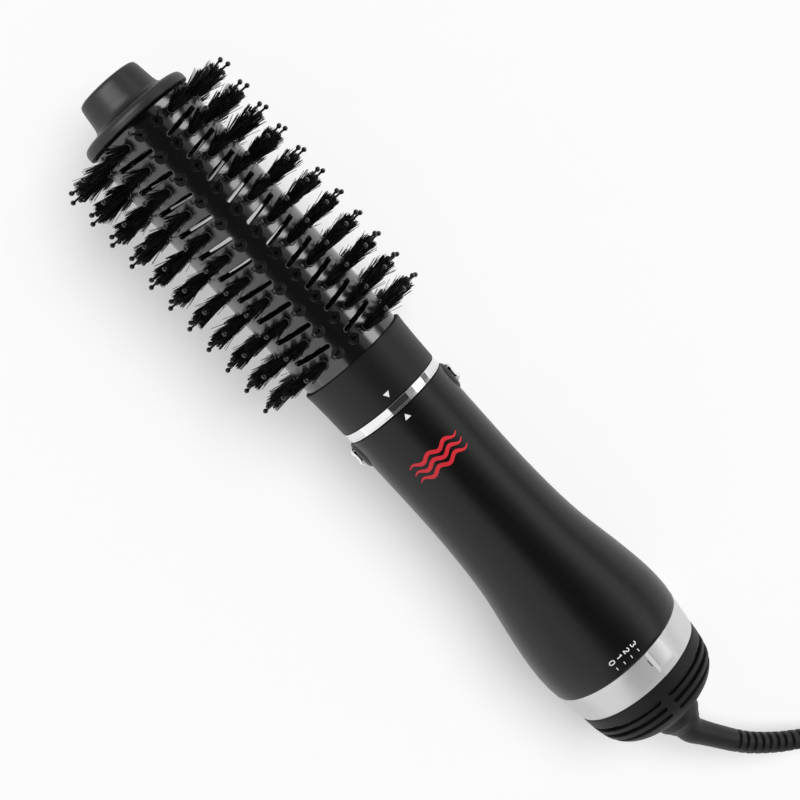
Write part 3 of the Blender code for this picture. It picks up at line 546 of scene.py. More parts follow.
a_first, r_first = math.degrees(math.atan2(first.y, first.x)) % 360, math.hypot(first.x, first.y)
for k in range(12):
    w = k / 12
    a = math.radians(270 + (a_first - 270) * w)
    r = COIL_OUT_R + (r_first - COIL_OUT_R) * w + 0.8 * math.sin(math.pi * w)
    z = LAYER_2 + (tail[0].z - LAYER_2) * ease(w)
    route.append(Vector((COIL.x + r * math.cos(a), COIL.y + r * math.sin(a), z)))
route += tail
route.append(tail_end + tail_dir * 4.0)
# the corners between the stretches are eased, away from the two ends
for _ in range(6):
    route = (
        route[:2]
        + [(a + 2 * b + c) / 4 for a, b, c in zip(route[1:-2], route[2:-1], route[3:])]
        + route[-1:]
    )

cord_curve = bpy.data.curves.new("power_cord_lead", "CURVE")
cord_curve.dimensions = "3D"
cord_curve.bevel_depth = CORD_R * MM
cord_curve.bevel_resolution = 6
cord_curve.use_fill_caps = True
s = cord_curve.splines.new("POLY")
s.points.add(len(route) - 1)
for p, q in zip(s.points, route):
    p.co = (q.x * MM, q.y * MM, q.z * MM, 1)
s.use_smooth = True
cord = bpy.data.objects.new("power_cord_lead", cord_curve)
scene.collection.objects.link(cord)
dress(cord, "cord", "swivel", ("power_cord", "power_cord_coil", "power_cord_tail"), WORLD)

# strain relief boot: smooth at its root, then ribs notched from both sides
BOOT_LEN = sum((b - a).length for a, b in zip(coarse, coarse[1:]))
COUNT = int(BOOT_LEN / 0.28)
boot_line = smooth_route([SWIVEL_END + Vector(s) for s in BOOT_STEPS], COUNT)
SIDES = 56
RIB_PITCH, RIB_FIRST = 4.1, 27.2


def bump_of(d, half, soft):
    """1 inside +/-half, falling to 0 over soft."""
    return 1.0 - ease((abs(d) - half) / soft)


def boot_r(t):
    if t >= 0.35:
        return 5.23 - 0.75 * (t - 0.35) / 0.65
    return 5.7 - 1.343 * t + 1.6 * (1 - t / 0.35) ** 4  # the root flares into the swivel


rings = []
for i, p in enumerate(boot_line):
    t = i / (COUNT - 1)
    d = (boot_line[min(i + 1, COUNT - 1)] - boot_line[max(i - 1, 0)]).normalized()
    side = Vector((0, 0, 1)).cross(d).normalized()  # the boot's own left
    up = d.cross(side).normalized()
    radius = boot_r(t)
    along_mm = t * BOOT_LEN
    ring = []
    for k in range(SIDES):
        th = 360.0 * k / SIDES  # from up towards the boot's left
        r = radius
        if RIB_FIRST - 2 < along_mm < BOOT_LEN - 1.6:
            for offset, middle, half in ((0.0, 60.0, 82.0), (0.5, 240.0, 60.0)):
                steps = (along_mm - RIB_FIRST) / RIB_PITCH - offset
                off = (steps - round(steps)) * RIB_PITCH
                if round(steps) < 0:
                    continue
                turn = (th - middle + 180) % 360 - 180
                r -= 1.5 * bump_of(off, 0.55, 0.42) * bump_of(turn, half, 12.0)
        end = (BOOT_LEN - along_mm) / 0.8
        if end < 1:
            r -= 0.8 * (1 - math.sqrt(max(0.0, 1 - (1 - end) ** 2)))
        a = math.radians(th)
        ring.append(p + up * (r * math.cos(a)) + side * (r * math.sin(a)))
    rings.append(ring)
boot = piece(
    "strain_relief_sleeve", loft(rings), "rubber", "swivel", ("strain_relief_boot",), WORLD, sharp=50
)

# small gate pit in the boot's smooth part, drawn as a darker disc on the skin: painted shade of the pit, no hole is
# cut
k_pit = int(8.6 / BOOT_LEN * COUNT)
d = (boot_line[k_pit + 1] - boot_line[k_pit - 1]).normalized()
side = Vector((0, 0, 1)).cross(d).normalized()
up = d.cross(side).normalized()
out_dir = up * math.cos(math.radians(-36)) + side * math.sin(math.radians(-36))
t = k_pit / (COUNT - 1)
base = boot_line[k_pit] + out_dir * boot_r(t)
across_dir = d.cross(out_dir).normalized()
rings = []
for r, h in ((0.05, 0.05), (0.42, 0.05), (0.5, 0.0), (0.5, -0.4), (0.05, -0.4)):
    rings.append(
        [
            base + out_dir * h + d * (r * math.cos(2 * math.pi * k / 20)) + across_dir * (r * math.sin(2 * math.pi * k / 20))
            for k in range(20)
        ]
    )
pit = piece("boot_gate_pit_painted_shade", loft(rings), "dark", "swivel", (), WORLD)

# strap round the coil, a woven band with its loose end lapped over
strap_frame = Matrix.Translation(COIL * MM) @ Matrix.Rotation(math.radians(-30), 4, "Z")


def strap_loop(grow, radius):
    a, b = COIL_IN_R - CORD_R - 1.2 - grow, COIL_OUT_R + CORD_R + 0.4 + grow
    low, top = COIL_LIFT - 0.3 - grow, COIL_TOP_Z + 0.3 + grow
    return fillet([(a, low, radius), (b, low, radius), (b, top, radius), (a, top, radius)], steps=8)


outer, inner = strap_loop(0.42, 3.2), strap_loop(-0.35, 2.6)
mid = [tuple((Vector(a) + Vector(b)) / 2) for a, b in zip(outer, inner)]
rings = []
for loop, y in ((outer, -5.1), (outer, -5.4), (mid, -5.5), (inner, -5.4), (inner, 5.4), (mid, 5.5), (outer, 5.4), (outer, 5.1)):
    rings.append([(p[0], y, p[1]) for p in loop])
strap = piece("cord_strap", loft(rings, path_closed=True), "strap", "swivel", ("cord_tie",), strap_frame)
top_z = COIL_TOP_Z + 0.72
rings = []
for grow, z in ((0.25, top_z - 0.2), (0.0, top_z), (0.0, top_z + 0.55), (0.3, top_z + 0.75)):
    w, l0, l1 = 5.0 - grow, 29.0 + grow, 47.0 - grow
    rings.append([(x, y, z) for x, y in fillet([(l0, -w, 2.2), (l1, -w, 2.2), (l1, w, 2.2), (l0, w, 2.2)], steps=6)])
lap = piece("cord_strap_lap", loft(rings), "strap", "swivel", (), strap_frame)

# plug: a moulded two-blade body with a ribbed neck
def superring(x, hy, hz, power, count=64):
    out = []
    for k in range(count):
        a = 2 * math.pi * k / count
        c, s_ = math.cos(a), math.sin(a)
        out.append(
            (x, math.copysign(abs(c) ** (2 / power), c) * hy, math.copysign(abs(s_) ** (2 / power), s_) * hz)
        )
    return out


rings = []
for x, hy, hz, power in (
    (-20.0, 3.6, 3.6, 2.0),
    (-19.9, 4.0, 4.0, 2.0),
    (-19.5, 4.3, 4.3, 2.0),
):
    rings.append(superring(x, hy, hz, power))
for k in range(4):
    x = -18.6 + 3.1 * k
    r = 4.45 + 0.32 * k
    rings += [
        superring(x, r, r, 2.0),
        superring(x + 1.3, r + 0.1, r + 0.1, 2.0),
        superring(x + 1.6, r - 0.55, r - 0.55, 2.0),
        superring(x + 2.6, r - 0.5, r - 0.5, 2.0),
    ]
for x, hy, hz, power in (
    (-6.2, 6.3, 5.9, 2.2),
    (-5.0, 7.6, 6.2, 2.5),
    (-3.0, 9.7, 6.7, 3.0),
    (0.0, 11.1, 7.1, 3.6),
    (3.0, 11.5, 7.3, 4.2),
    (8.0, 10.9, 7.1, 4.2),
    (13.0, 10.6, 7.0, 4.4),
    (18.0, 10.9, 7.1, 4.6),
    (23.0, 11.5, 7.3, 5.0),
    (26.0, 11.5, 7.3, 5.0),
    (26.7, 11.3, 7.1, 5.0),
    (27.0, 10.9, 6.7, 5.0),
):
    rings.append(superring(x, hy, hz, power))
plug_mesh = [loft(rings)]
for side_sign in (1, -1):  # grip ribs on both broad faces
    for k in range(4):
        x = 9.2 + 2.6 * k
        ribs = []
        for dy in (-1.0, -0.97, -0.8, -0.4, 0.0, 0.4, 0.8, 0.97, 1.0):
            h = 0.45 * (1 - dy * dy) ** 0.5 + 0.02
            z = side_sign * 6.7
            ribs.append(
                [
                    (x - 0.55, 7.0 * dy, z),
                    (x - 0.4, 7.0 * dy, z + side_sign * (0.25 + h * 0.55)),
                    (x, 7.0 * dy, z + side_sign * (0.25 + h * 0.85)),
                    (x + 0.4, 7.0 * dy, z + side_sign * (0.25 + h * 0.55)),
                    (x + 0.55, 7.0 * dy, z),
                ]
            )
        plug_mesh.append(loft(ribs))
plug = piece("plug_moulding", plug_mesh, "plug", "swivel", ("plug_body",), PLUG_FRAME, sharp=40)


def blade(name, y, width, node):
    half, th = width / 2, 0.75
    outline = fillet(
        [(24.5, -half), (43.2, -half, 0.6), (44.8, -half + 1.5, 0.8), (44.8, half - 1.5, 0.8), (43.2, half, 0.6), (24.5, half)],
        steps=4,
    )
    hole = [
        (38.6 + 1.55 * math.cos(2 * math.pi * k / 28), 1.55 * math.sin(2 * math.pi * k / 28)) for k in range(28)
    ]
    # the rim and the hole, resampled to the same number of points
    dist = [0.0]
    ring = outline + outline[:1]
    for a, b in zip(ring, ring[1:]):
        dist.append(dist[-1] + math.dist(a, b))
    rim = []
    for k in range(28):
        a = 2 * math.pi * k / 28
        ux, uz = math.cos(a), math.sin(a)
        best = None
        for p, q in zip(ring, ring[1:]):
            dx, dz = q[0] - p[0], q[1] - p[1]
            det = ux * -dz + uz * dx
            if abs(det) < 1e-9:
                continue
            px, pz = p[0] - 38.6, p[1]
            tt = (px * -dz + pz * dx) / det
            ss = (ux * pz - uz * px) / det
            if tt > 0 and -1e-6 <= ss <= 1 + 1e-6 and (best is None or tt < best):
                best = tt
        rim.append((38.6 + ux * best, uz * best))
    loops = []
    for inset, depth in ((0.0, -th + 0.2), (0.2, -th), (None, -th), (None, th), (0.2, th), (0.0, th - 0.2)):
        if inset is None:
            loops.append([(p[0], y + depth, p[1]) for p in hole])
        else:
            loops.append(
                [
                    (
                        p[0] - (p[0] - 38.6) * inset / max(math.hypot(p[0] - 38.6, p[1]), 1),
                        y + depth,
                        p[1] - p[1] * inset / max(math.hypot(p[0] - 38.6, p[1]), 1),
                    )
                    for p in rim
                ]
            )
    return piece(name, loft(loops, path_closed=True), "brass", "swivel", (node,), PLUG_FRAME, sharp=30)


blades = [
    blade("plug_blade_neutral", 6.35, 7.9, "plug_blade_wide"),
    blade("plug_blade_live", -6.35, 6.3, "plug_blade_narrow"),
]

# ============================================================== the head
knob_line = spline(
    [
        (0.0, 12.6),
        (0.15, 13.5),
        (0.7, 14.45),
        (2.0, 15.0),
        (6.0, 15.6),
        (11.2, 16.35),
        (12.9, 17.1),
        (14.0, 18.8),
        (14.5, 21.2),
        (14.85, 23.8),
        (15.6, 25.4),
        (17.2, 26.2),
        (18.6, 26.3),
        (19.7, 26.25),
        (20.1, 25.9),
    ],
    6,
)
knob = piece(
    "tip_knob",
    lathe(
        [(0.0, 0.0), (0.0, 8.0)]
        + knob_line
        + [(20.1, 18.2), (30.0, 18.2), (30.0, 16.2), (17.0, 16.2), (11.0, 14.2), (2.4, 13.0), (2.4, 0.0)],
        128,
        closed=False,
    ),
    "knob",
    "brush_head",
    ("tip_cap",),
    sharp=40,
)


class Profile:
    """An outline that can be read by the distance along it."""

    def __init__(self, points):
        self.p = [Vector(q) for q in points]
        self.t = [0.0]
        for a, b in zip(self.p, self.p[1:]):
            self.t.append(self.t[-1] + (b - a).length)

    def at(self, t):
        t = min(max(t, 0.0), self.t[-1])
        j = 0
        while j < len(self.t) - 2 and self.t[j + 1] < t:
            j += 1
        f = (t - self.t[j]) / (self.t[j + 1] - self.t[j])
        return self.p[j].lerp(self.p[j + 1], f)

    def normal(self, t):
        d = self.at(t + 0.25) - self.at(t - 0.25)
        n = Vector((-d.y, d.x))
        return n.normalized()

    def where(self, x):
        for j, (a, b) in enumerate(zip(self.p, self.p[1:])):
            if a.x <= x <= b.x:
                return self.t[j] + (x - a.x) / max(b.x - a.x, 1e-9) * (self.t[j + 1] - self.t[j])
        return self.t[-1]


def slotted(profile, rows, walls, count, first, half_arc, half_w, lip, thick, n_long, n_cap, before, after, skew=()):
    """A turned shell with rows of round-ended slots.

    rows are the slots' middles along the profile, walls the borders between
    the rows, count and first place the cells round the shell, and before and
    after are the distances at which the plain ends get their rings. skew says
    how many degrees each slot sits off its cell's middle and how it leans.
    """
    verts, faces = [], []

    def put(t, phi, depth):
        p = profile.at(t) - profile.normal(t) * depth
        verts.append(polar(p.x, p.y, phi))
        return len(verts) - 1

    half_cell = 180.0 / count
    for row, (t0, t1) in zip(rows, zip(walls, walls[1:])):
        ref = math.radians(1) * profile.at(row).y  # mm of arc for each degree
        half_len = half_arc - half_w / ref
        for c in range(count):
            mid_deg = first + 2 * half_cell * c
            off, lean = skew[c] if skew else (0.0, 0.0)

            def border():
                out = []
                for k in range(n_long):
                    out.append((-half_cell + 2 * half_cell * k / n_long, t0))
                for k in range(n_cap):
                    out.append((half_cell, t0 + (t1 - t0) * k / n_cap))
                for k in range(n_long):
                    out.append((half_cell - 2 * half_cell * k / n_long, t1))
                for k in range(n_cap):
                    out.append((-half_cell, t1 + (t0 - t1) * k / n_cap))
                return out

            def stadium(grow):
                w = half_w + grow
                out = []
                for k in range(n_long):
                    out.append((-half_len + 2 * half_len * k / n_long, row - w))
                for k in range(n_cap):
                    a = math.pi * (k / n_cap - 0.5)
                    out.append((half_len + w * math.cos(a) / ref, row + w * math.sin(a)))
                for k in range(n_long):
                    out.append((half_len - 2 * half_len * k / n_long, row + w))
                for k in range(n_cap):
                    a = math.pi * (k / n_cap + 0.5)
                    out.append((-half_len + w * math.cos(a) / ref, row + w * math.sin(a)))
                return [(u + off, t + lean * ref * u) for u, t in out]

            rect, support = border(), stadium(lip * 1.8)
            mid_loop = [((a[0] + b[0]) / 2, (a[1] + b[1]) / 2) for a, b in zip(rect, support)]
            loops = [(rect, 0.0), (mid_loop, 0.0), (support, 0.0), (stadium(lip), 0.0)]
            for k in (1, 2, 3):
                a = math.radians(30 * k)
                loops.append((stadium(lip * (1 - math.sin(a))), lip * (1 - math.cos(a))))
            loops += [(stadium(0.0), thick * 0.55), (stadium(0.0), thick), (rect, thick)]
            made = [[put(t, mid_deg + u, depth) for u, t in loop] for loop, depth in loops]
            n = len(rect)
            for a, b in zip(made, made[1:]):
                for k in range(n):
                    k2 = (k + 1) % n
                    faces.append((a[k], a[k2], b[k2], b[k]))
    angles = [first - half_cell + 2 * half_cell * k / n_long for k in range(n_long * count)]
    for stations in (before, after):
        if not stations:
            continue
        for depth in (0.0, thick):
            rings_ = [[put(t, a, depth) for a in angles] for t in stations]
            for a, b in zip(rings_, rings_[1:]):
                for k in range(len(angles)):
                    k2 = (k + 1) % len(angles)
                    faces.append((a[k], a[k2], b[k2], b[k]))
            if depth == 0.0:
                keep = rings_
        a, b = (keep[0], rings_[0]) if stations is before else (keep[-1], rings_[-1])
        for k in range(len(angles)):
            k2 = (k + 1) % len(angles)
            faces.append((a[k], a[k2], b[k2], b[k]))
    return verts, faces


barrel_line = Profile([(20.4, BARREL_R - 0.25), (20.65, BARREL_R), (157.0, BARREL_R)])
t_of = barrel_line.where
walls = [t_of(ROW_FIRST_X + ROW_PITCH * i) for i in range(ROWS)]
barrel = piece(
    "slotted_barrel",
    slotted(
        barrel_line,
        [t_of(ROW_FIRST_X + ROW_PITCH * (i + 0.5)) for i in range(ROWS - 1)],
        walls,
        4,
        44.1,
        45.0 / 2,
        0.9,
        0.32,
        BARREL_R - BARREL_BORE_R,
        22,
        6,
        [0.0, 0.36, walls[0] * 0.5, walls[0]],
        [walls[-1], (walls[-1] + barrel_line.t[-1]) / 2, barrel_line.t[-1]],
        ((-12.5, -0.118), (12.5, 0.118), (-12.5, -0.118), (12.5, 0.118)),
    ),
    "barrel",
    "brush_head",
    ("barrel",),
    sharp=50,
)


# bristle rows: each has bosses, ball-tipped pins and tufts of strands
def spot(x, phi, rise, dx, ds):
    """A point rise mm above the barrel's skin, dx along and ds round it."""
    a = math.radians(phi)
    r = BARREL_R + rise
    return (x + dx, -r * math.sin(a) - ds * math.cos(a), r * math.cos(a) - ds * math.sin(a))


def lean_of(phi):
    p = abs((phi + 180) % 360 - 180)
    return 2.0 if 62 < p < 76 else 1.7 if p < 76 else 0.0


PIN_TOP = 43.2 - BARREL_R
BALL = 1.12


def pin(x, phi):
    lean = lean_of(phi)
    line = [(0.0, -0.3), (0.82, -0.3), (0.78, 0.25), (0.66, 0.7), (0.58, 1.5), (0.53, 4.0), (0.49, PIN_TOP - 2.0)]
    a0 = math.asin(0.49 / BALL)
    for k in range(8):
        a = a0 + (math.pi - a0) * k / 7
        line.append((BALL * math.sin(a) if k < 7 else 0.0, PIN_TOP - BALL * math.cos(a)))

    def at(h, s_, ang):
        a = math.radians(ang)
        return spot(x, phi, h, -lean * max(h, 0) / PIN_TOP + s_ * math.cos(a), s_ * math.sin(a))

    return lathe([(h, s_) for s_, h in line], 12, closed=False, at=at)


def boss(x, phi, line, sides=28):
    def at(h, s_, ang):
        a = math.radians(ang)
        return spot(x, phi, h, s_ * math.cos(a), s_ * math.sin(a))

    return lathe([(h, s_) for s_, h in line], sides, closed=False, at=at)


TUFT_BOSS = [(0.0, -0.5), (2.5, -0.5), (2.5, 0.12), (2.4, 0.32), (2.15, 0.44), (1.85, 0.44), (1.72, 0.3), (1.66, 0.05), (0.0, 0.05)]
PIN_BOSS = [
    (0.0, -0.5),
    (2.8, -0.5),
    (2.8, 0.05),
    (2.68, 0.24),
    (2.45, 0.3),
    (2.25, 0.22),
    (2.15, 0.02),
    (1.7, 0.02),
    (1.6, 0.32),
    (1.4, 0.5),
    (1.1, 0.5),
    (0.95, 0.35),
    (0.0, 0.35),
]


def strand(rng, x, phi, wild):
    lean = lean_of(phi)
    rho, a = 1.6 * math.sqrt(rng.random()), rng.uniform(0, 2 * math.pi)
    top = 39.55 - BARREL_R + rng.uniform(-0.75, 0.55)
    if wild:
        rho = 1.6
        reach_ = rng.uniform(3.7, 5.0)
        top -= rng.uniform(0.2, 1.6)
        a += rng.uniform(-0.2, 0.2)
    else:
        reach_ = rho * 2.05 + rng.uniform(-0.15, 0.25)
    bow = rng.uniform(-0.25, 0.25)
    verts = []
    th0 = rng.uniform(0, 2)
    for f, thick_ in ((0.0, 0.17), (0.52, 0.165), (1.0, 0.13)):
        h = -0.2 + (top + 0.2) * f
        rr = rho + (reach_ - rho) * (f if not wild else f**1.25) + bow * math.sin(math.pi * f)
        cx, cs = rr * math.cos(a) - lean * h / PIN_TOP, rr * math.sin(a)
        for k in range(3):
            b = th0 + 2 * math.pi * k / 3
            verts.append(spot(x, phi, h, cx + thick_ * math.cos(b), cs + thick_ * math.sin(b)))
    faces = []
    for i in (0, 3):
        for k in range(3):
            k2 = (k + 1) % 3
            faces.append((i + k, i + k2, i + 3 + k2, i + 3 + k))
    faces += [(0, 2, 1), (6, 7, 8)]
    return verts, faces


for i in range(ROWS):
    x = ROW_FIRST_X + ROW_PITCH * i
    pins, bosses, tufts = [], [], []
    for k in range(TUFTS):
        phi = 10.0 + 20.0 * k + HEAD_TURN
        pins.append(pin(x, phi))
        plain = k in (0, TUFTS - 1)
        bosses.append(boss(x, phi, PIN_BOSS if plain else TUFT_BOSS))
        if plain:
            continue
        rng = random.Random(1000 * i + k)
        count = 82
        tufts += [strand(rng, x, phi, j >= count - 6) for j in range(count)]
    label = f"{i + 1:02d}"
    piece("pins_row_" + label, pins, "pin", "brush_head", (f"bristle_row_{label}",), sharp=45, weld=False)
    piece("bosses_row_" + label, bosses, "boss", "brush_head", sharp=40, weld=False)
    piece("tufts_row_" + label, tufts, "bristle", "brush_head", sharp=70, weld=False)

collar = piece(
    "head_sleeve",
    lathe(
        fillet(
            [
                (151.3, 26.35, 1.15),
                (156.0, 25.95, 8.0),
                (165.0, 25.62, 20.0),
                (174.6, 25.45, 0.3),
                (174.6, 22.9),
                (168.0, 22.9),
                (167.2, 23.9),
                (157.4, 23.9),
                (157.4, 25.0),
                (151.3, 25.0, 0.25),
            ],
            steps=6,
        ),
        128,
    ),
    "collar",
    "brush_head",
    ("head_collar",),
    sharp=40,
)
chrome = piece(
    "trim_ring",
    lathe(
        fillet(
            [
                (174.9, 25.4, 0.42),
                (178.05, 25.4, 0.12),
                (178.2, 25.12, 0.05),
                (178.36, 25.12, 0.05),
                (178.5, 25.38, 0.12),
                (179.2, 25.38, 0.3),
                (179.2, 22.9),
                (174.9, 22.9),
            ],
            steps=6,
        ),
        160,
    ),
    "chrome",
    "brush_head",
    ("chrome_ring",),
    sharp=40,
)

# ============================================================== the handle
HANDLE_TABLE = spline(
    [
        (180.1, 25.4),
        (200.0, 25.37),
        (220.0, 25.33),
        (232.0, 25.45),
        (241.0, 25.75),
        (250.0, 26.2),
        (260.0, 26.92),
        (270.0, 28.05),
        (280.0, 29.75),
        (290.0, 31.6),
        (300.0, 33.2),
        (308.0, 34.2),
        (314.0, 34.58),
        (320.0, 34.5),
        (324.6, 34.02),
    ],
    6,
)


def handle_r(x):
    return value_at(HANDLE_TABLE, x)


def handle_outline(drop):
    outer_ = [(179.6, 24.9 - drop), (179.72, 25.2 - drop)] + [(x, r - drop) for x, r in HANDLE_TABLE]
    outer_ += [(325.1, 33.85 - drop), (325.3, 33.55 - drop)]
    return outer_ + [
        (325.3, 30.6),
        (339.6, 30.6),
        (339.6, 28.6),
        (330.0, 28.6),
        (318.0, 31.6),
        (302.0, 30.9),
        (282.0, 27.6),
        (262.0, 24.8),
        (235.0, 23.3),
        (181.6, 23.2),
        (181.6, 18.2),
        (179.6, 18.2),
    ]


def ellipse_prism(x0, a, b, y0, y1, count=48):
    rings = []
    for y in (y0, y1):
        rings.append(
            [(x0 + a * math.cos(2 * math.pi * k / count), y, b * math.sin(2 * math.pi * k / count)) for k in range(count)]
        )
    return loft(rings)


def block(lo, hi):
    rings = [[(x, lo[1], lo[2]), (x, hi[1], lo[2]), (x, hi[1], hi[2]), (x, lo[1], hi[2])] for x in (lo[0], hi[0])]
    return loft(rings)


side_cuts = []
for sgn in (1, -1):
    side_cuts.append(ellipse_prism(186.3, 5.9, 4.6, *sorted((sgn * 22.0, sgn * 29.0))))
    side_cuts.append(block((178.0, min(sgn * 18.0, sgn * 22.3), -3.7), (186.0, max(sgn * 18.0, sgn * 22.3), 3.7)))
PART_LINE = 0.33  # degrees each side of the parting line
for name, node, first_deg in (
    ("grip_front", "handle_front_shell", -90.0),
    ("grip_back", "handle_back_shell", 90.0),
):
    a0, a1 = first_deg + PART_LINE, first_deg + 180 - PART_LINE
    steps = [a0, a0 + 0.12, a0 + 0.35, a0 + 0.8]
    steps += [a0 + 0.8 + (a1 - a0 - 1.6) * k / 72 for k in range(1, 72)]
    steps += [a1 - 0.8, a1 - 0.35, a1 - 0.12, a1]
    drops = {0: 0.16, 1: 0.05, 2: 0.01}
    rings = []
    for k, phi in enumerate(steps):
        drop = drops.get(min(k, len(steps) - 1 - k), 0.0)
        rings.append([polar(x, r, phi) for x, r in handle_outline(drop)])
    shell = piece(name, loft(rings), "grip", "handle", (node,), sharp=38)
    cut(shell, side_cuts)

tube = piece(
    "outlet_nozzle",
    lathe(
        fillet(
            [
                (146.0, 17.9, 0.5),
                (181.9, 17.9, 0.4),
                (181.9, 22.4, 0.3),
                (183.9, 22.4, 0.3),
                (183.9, 17.9),
                (214.0, 17.9),
                (214.0, 16.4),
                (146.0, 16.4, 0.4),
            ],
            steps=4,
        ),
        96,
    ),
    "tube",
    "handle",
    ("air_outlet_tube",),
    sharp=40,
)
cut(
    tube,
    [
        block((181.0, 18.05, -3.7), (186.0, 24.0, 3.7)),
        block((181.0, -24.0, -3.7), (186.0, -18.05, 3.7)),
    ],
)

# release buttons: a lens-shaped bezel, a chrome key with two ridges and the
# latch arm below it
for name, sgn in (("left", 1), ("right", -1)):
    centre = 270.0 if sgn > 0 else 90.0

    def lens(x, s_, h, centre=centre):
        return polar(x, 25.4 + h, centre + math.degrees(s_ / 25.4))

    levels = [
        (5.6, 4.3, -2.8, 186.3),
        (5.7, 4.4, -0.5, 186.3),
        (7.0, 5.75, -0.35, 186.3),
        (7.0, 5.75, -0.02, 186.3),
        (6.85, 5.6, 0.22, 186.3),
        (6.5, 5.2, 0.55, 186.25),
        (6.05, 4.6, 0.88, 186.2),
        (5.6, 3.95, 1.12, 186.1),
        (5.25, 3.4, 1.26, 186.05),
        (5.02, 3.05, 1.3, 186.0),
        (4.88, 2.86, 1.22, 186.0),
        (4.82, 2.76, 1.0, 186.0),
        (4.82, 2.76, -2.3, 186.0),
    ]
    rings = [
        [lens(x0 + a * math.cos(2 * math.pi * k / 64), b * math.sin(2 * math.pi * k / 64), h) for k in range(64)]
        for a, b, h, x0 in levels
    ]
    piece(
        "bezel_" + name, loft(rings), "bezel", "handle", ("button_bezel_" + name,), sharp=40
    )

    def key_height(x, s_):
        d = x - 186.0
        ridge = math.exp(-(((abs(d) - 2.7) / 1.15) ** 4))
        edge = 1 - min(1.0, (d / 4.7) ** 2 + (s_ / 2.6) ** 2)
        return 27.15 + (0.95 + 0.55 * ridge) * min(1.0, edge * 3.2) ** 0.5

    rings = []
    for h in (24.9, 27.0):
        rings.append(
            [
                (186.0 + 4.7 * math.cos(2 * math.pi * k / 64), sgn * h, 2.6 * math.sin(2 * math.pi * k / 64))
                for k in range(64)
            ]
        )
    for q in range(0, 17):
        f = math.cos(math.pi / 2 * q / 17.5)
        ring = []
        for k in range(64):
            x = 186.0 + 4.7 * f * math.cos(2 * math.pi * k / 64)
            s_ = 2.6 * f * math.sin(2 * math.pi * k / 64)
            ring.append((x, sgn * key_height(x, s_), s_))
        rings.append(ring)
    piece(
        "release_key_" + name,
        loft(rings),
        "button",
        name + "_button",
        ("release_button_" + name,),
        sharp=55,
    )
    profile_ = fillet(
        [
            (164.5, 20.3, 0.2),
            (198.9, 20.35, 0.3),
            (198.9, 21.65, 0.3),
            (188.5, 21.7, 0.6),
            (188.5, 24.9),
            (183.5, 24.9),
            (183.5, 21.7, 0.6),
            (166.5, 21.7, 0.3),
            (166.4, 22.5, 0.2),
            (165.5, 22.5, 0.3),
            (164.5, 21.6, 0.3),
        ],
        steps=3,
    )
    rings = []
    for z, grow in ((-2.2, 0.0), (2.2, 0.0)):
        rings.append([(x, sgn * r, z) for x, r in profile_])
    arm = [loft(rings)]
    rings = []
    for z in (-3.2, -3.0, 3.0, 3.2):
        inset = 0.15 if abs(z) > 3.1 else 0.0
        rings.append(
            [
                (x, sgn * r, z)
                for x, r in (
                    (164.6 + inset, 20.32 + inset),
                    (190.5 - inset, 20.32 + inset),
                    (190.5 - inset, 21.66 - inset),
                    (166.4, 21.66 - inset),
                    (166.4 - inset, 22.4 - inset),
                    (165.4 + inset, 22.4 - inset),
                    (164.6 + inset, 21.5 - inset),
                )
            ]
        )
    arm.append(loft(rings))
    piece("latch_arm_" + name, arm, "inner", name + "_button", sharp=30)


# marks printed on the handle and the collar: thin inlays that follow the skin
def ribbon(points, width, skin, closed=False, ends=1.0):
    """A line of ink along (x, s) points on the surface r = skin(x)."""
    n = len(points)
    rings = []
    for i, p in enumerate(points):
        a = points[(i - 1) % n] if closed or i else points[0]
        b = points[(i + 1) % n] if closed or i < n - 1 else points[-1]
        d = Vector((b[0] - a[0], b[1] - a[1])).normalized()
        w = width / 2
        if not closed and ends < 1.0:
            w *= ends + (1 - ends) * min(1.0, min(i, n - 1 - i) / (0.22 * n))
        ring = []
        for side_, lift in ((1, -0.06), (1, 0.03), (0.5, 0.038), (-0.5, 0.038), (-1, 0.03), (-1, -0.06)):
            x, s_ = p[0] - d.y * w * side_, p[1] + d.x * w * side_
            r = skin(x) + lift
            ring.append(polar(x, r, math.degrees(s_ / skin(x))))
        rings.append(ring)
    return loft(rings, path_closed=closed)


def triangle(x_base, x_tip, half, skin):
    """A small solid arrow, ruled in strips round the surface."""
    rings = []
    for k in range(13):
        s_ = -half + 2 * half * k / 12
        x1 = x_base + (x_tip - x_base) * max(0.03, 1 - abs(s_) / half)
        ring = []
        for x, lift in ((x_base, -0.06), (x_base, 0.035), (x1, 0.035), (x1, -0.06)):
            ring.append(polar(x, skin(x) + lift, math.degrees(s_ / skin(x))))
        rings.append(ring)
    return loft(rings)


def collar_r(x):
    return value_at([(151.3, 26.35), (156.0, 25.93), (165.0, 25.62), (174.6, 25.45)], x)


piece("arrow_on_collar", triangle(169.7, 172.1, 1.5, collar_r), "mark", "brush_head", sharp=30)
piece("arrow_on_grip", triangle(184.0, 181.6, 1.5, handle_r), "mark", "handle", sharp=30)


def arc(cx, cy, rx, ry, a0, a1, count):
    return [
        (
            cx + rx * math.cos(math.radians(a0 + (a1 - a0) * k / count)),
            cy + ry * math.sin(math.radians(a0 + (a1 - a0) * k / count)),
        )
        for k in range(count + 1)
    ]


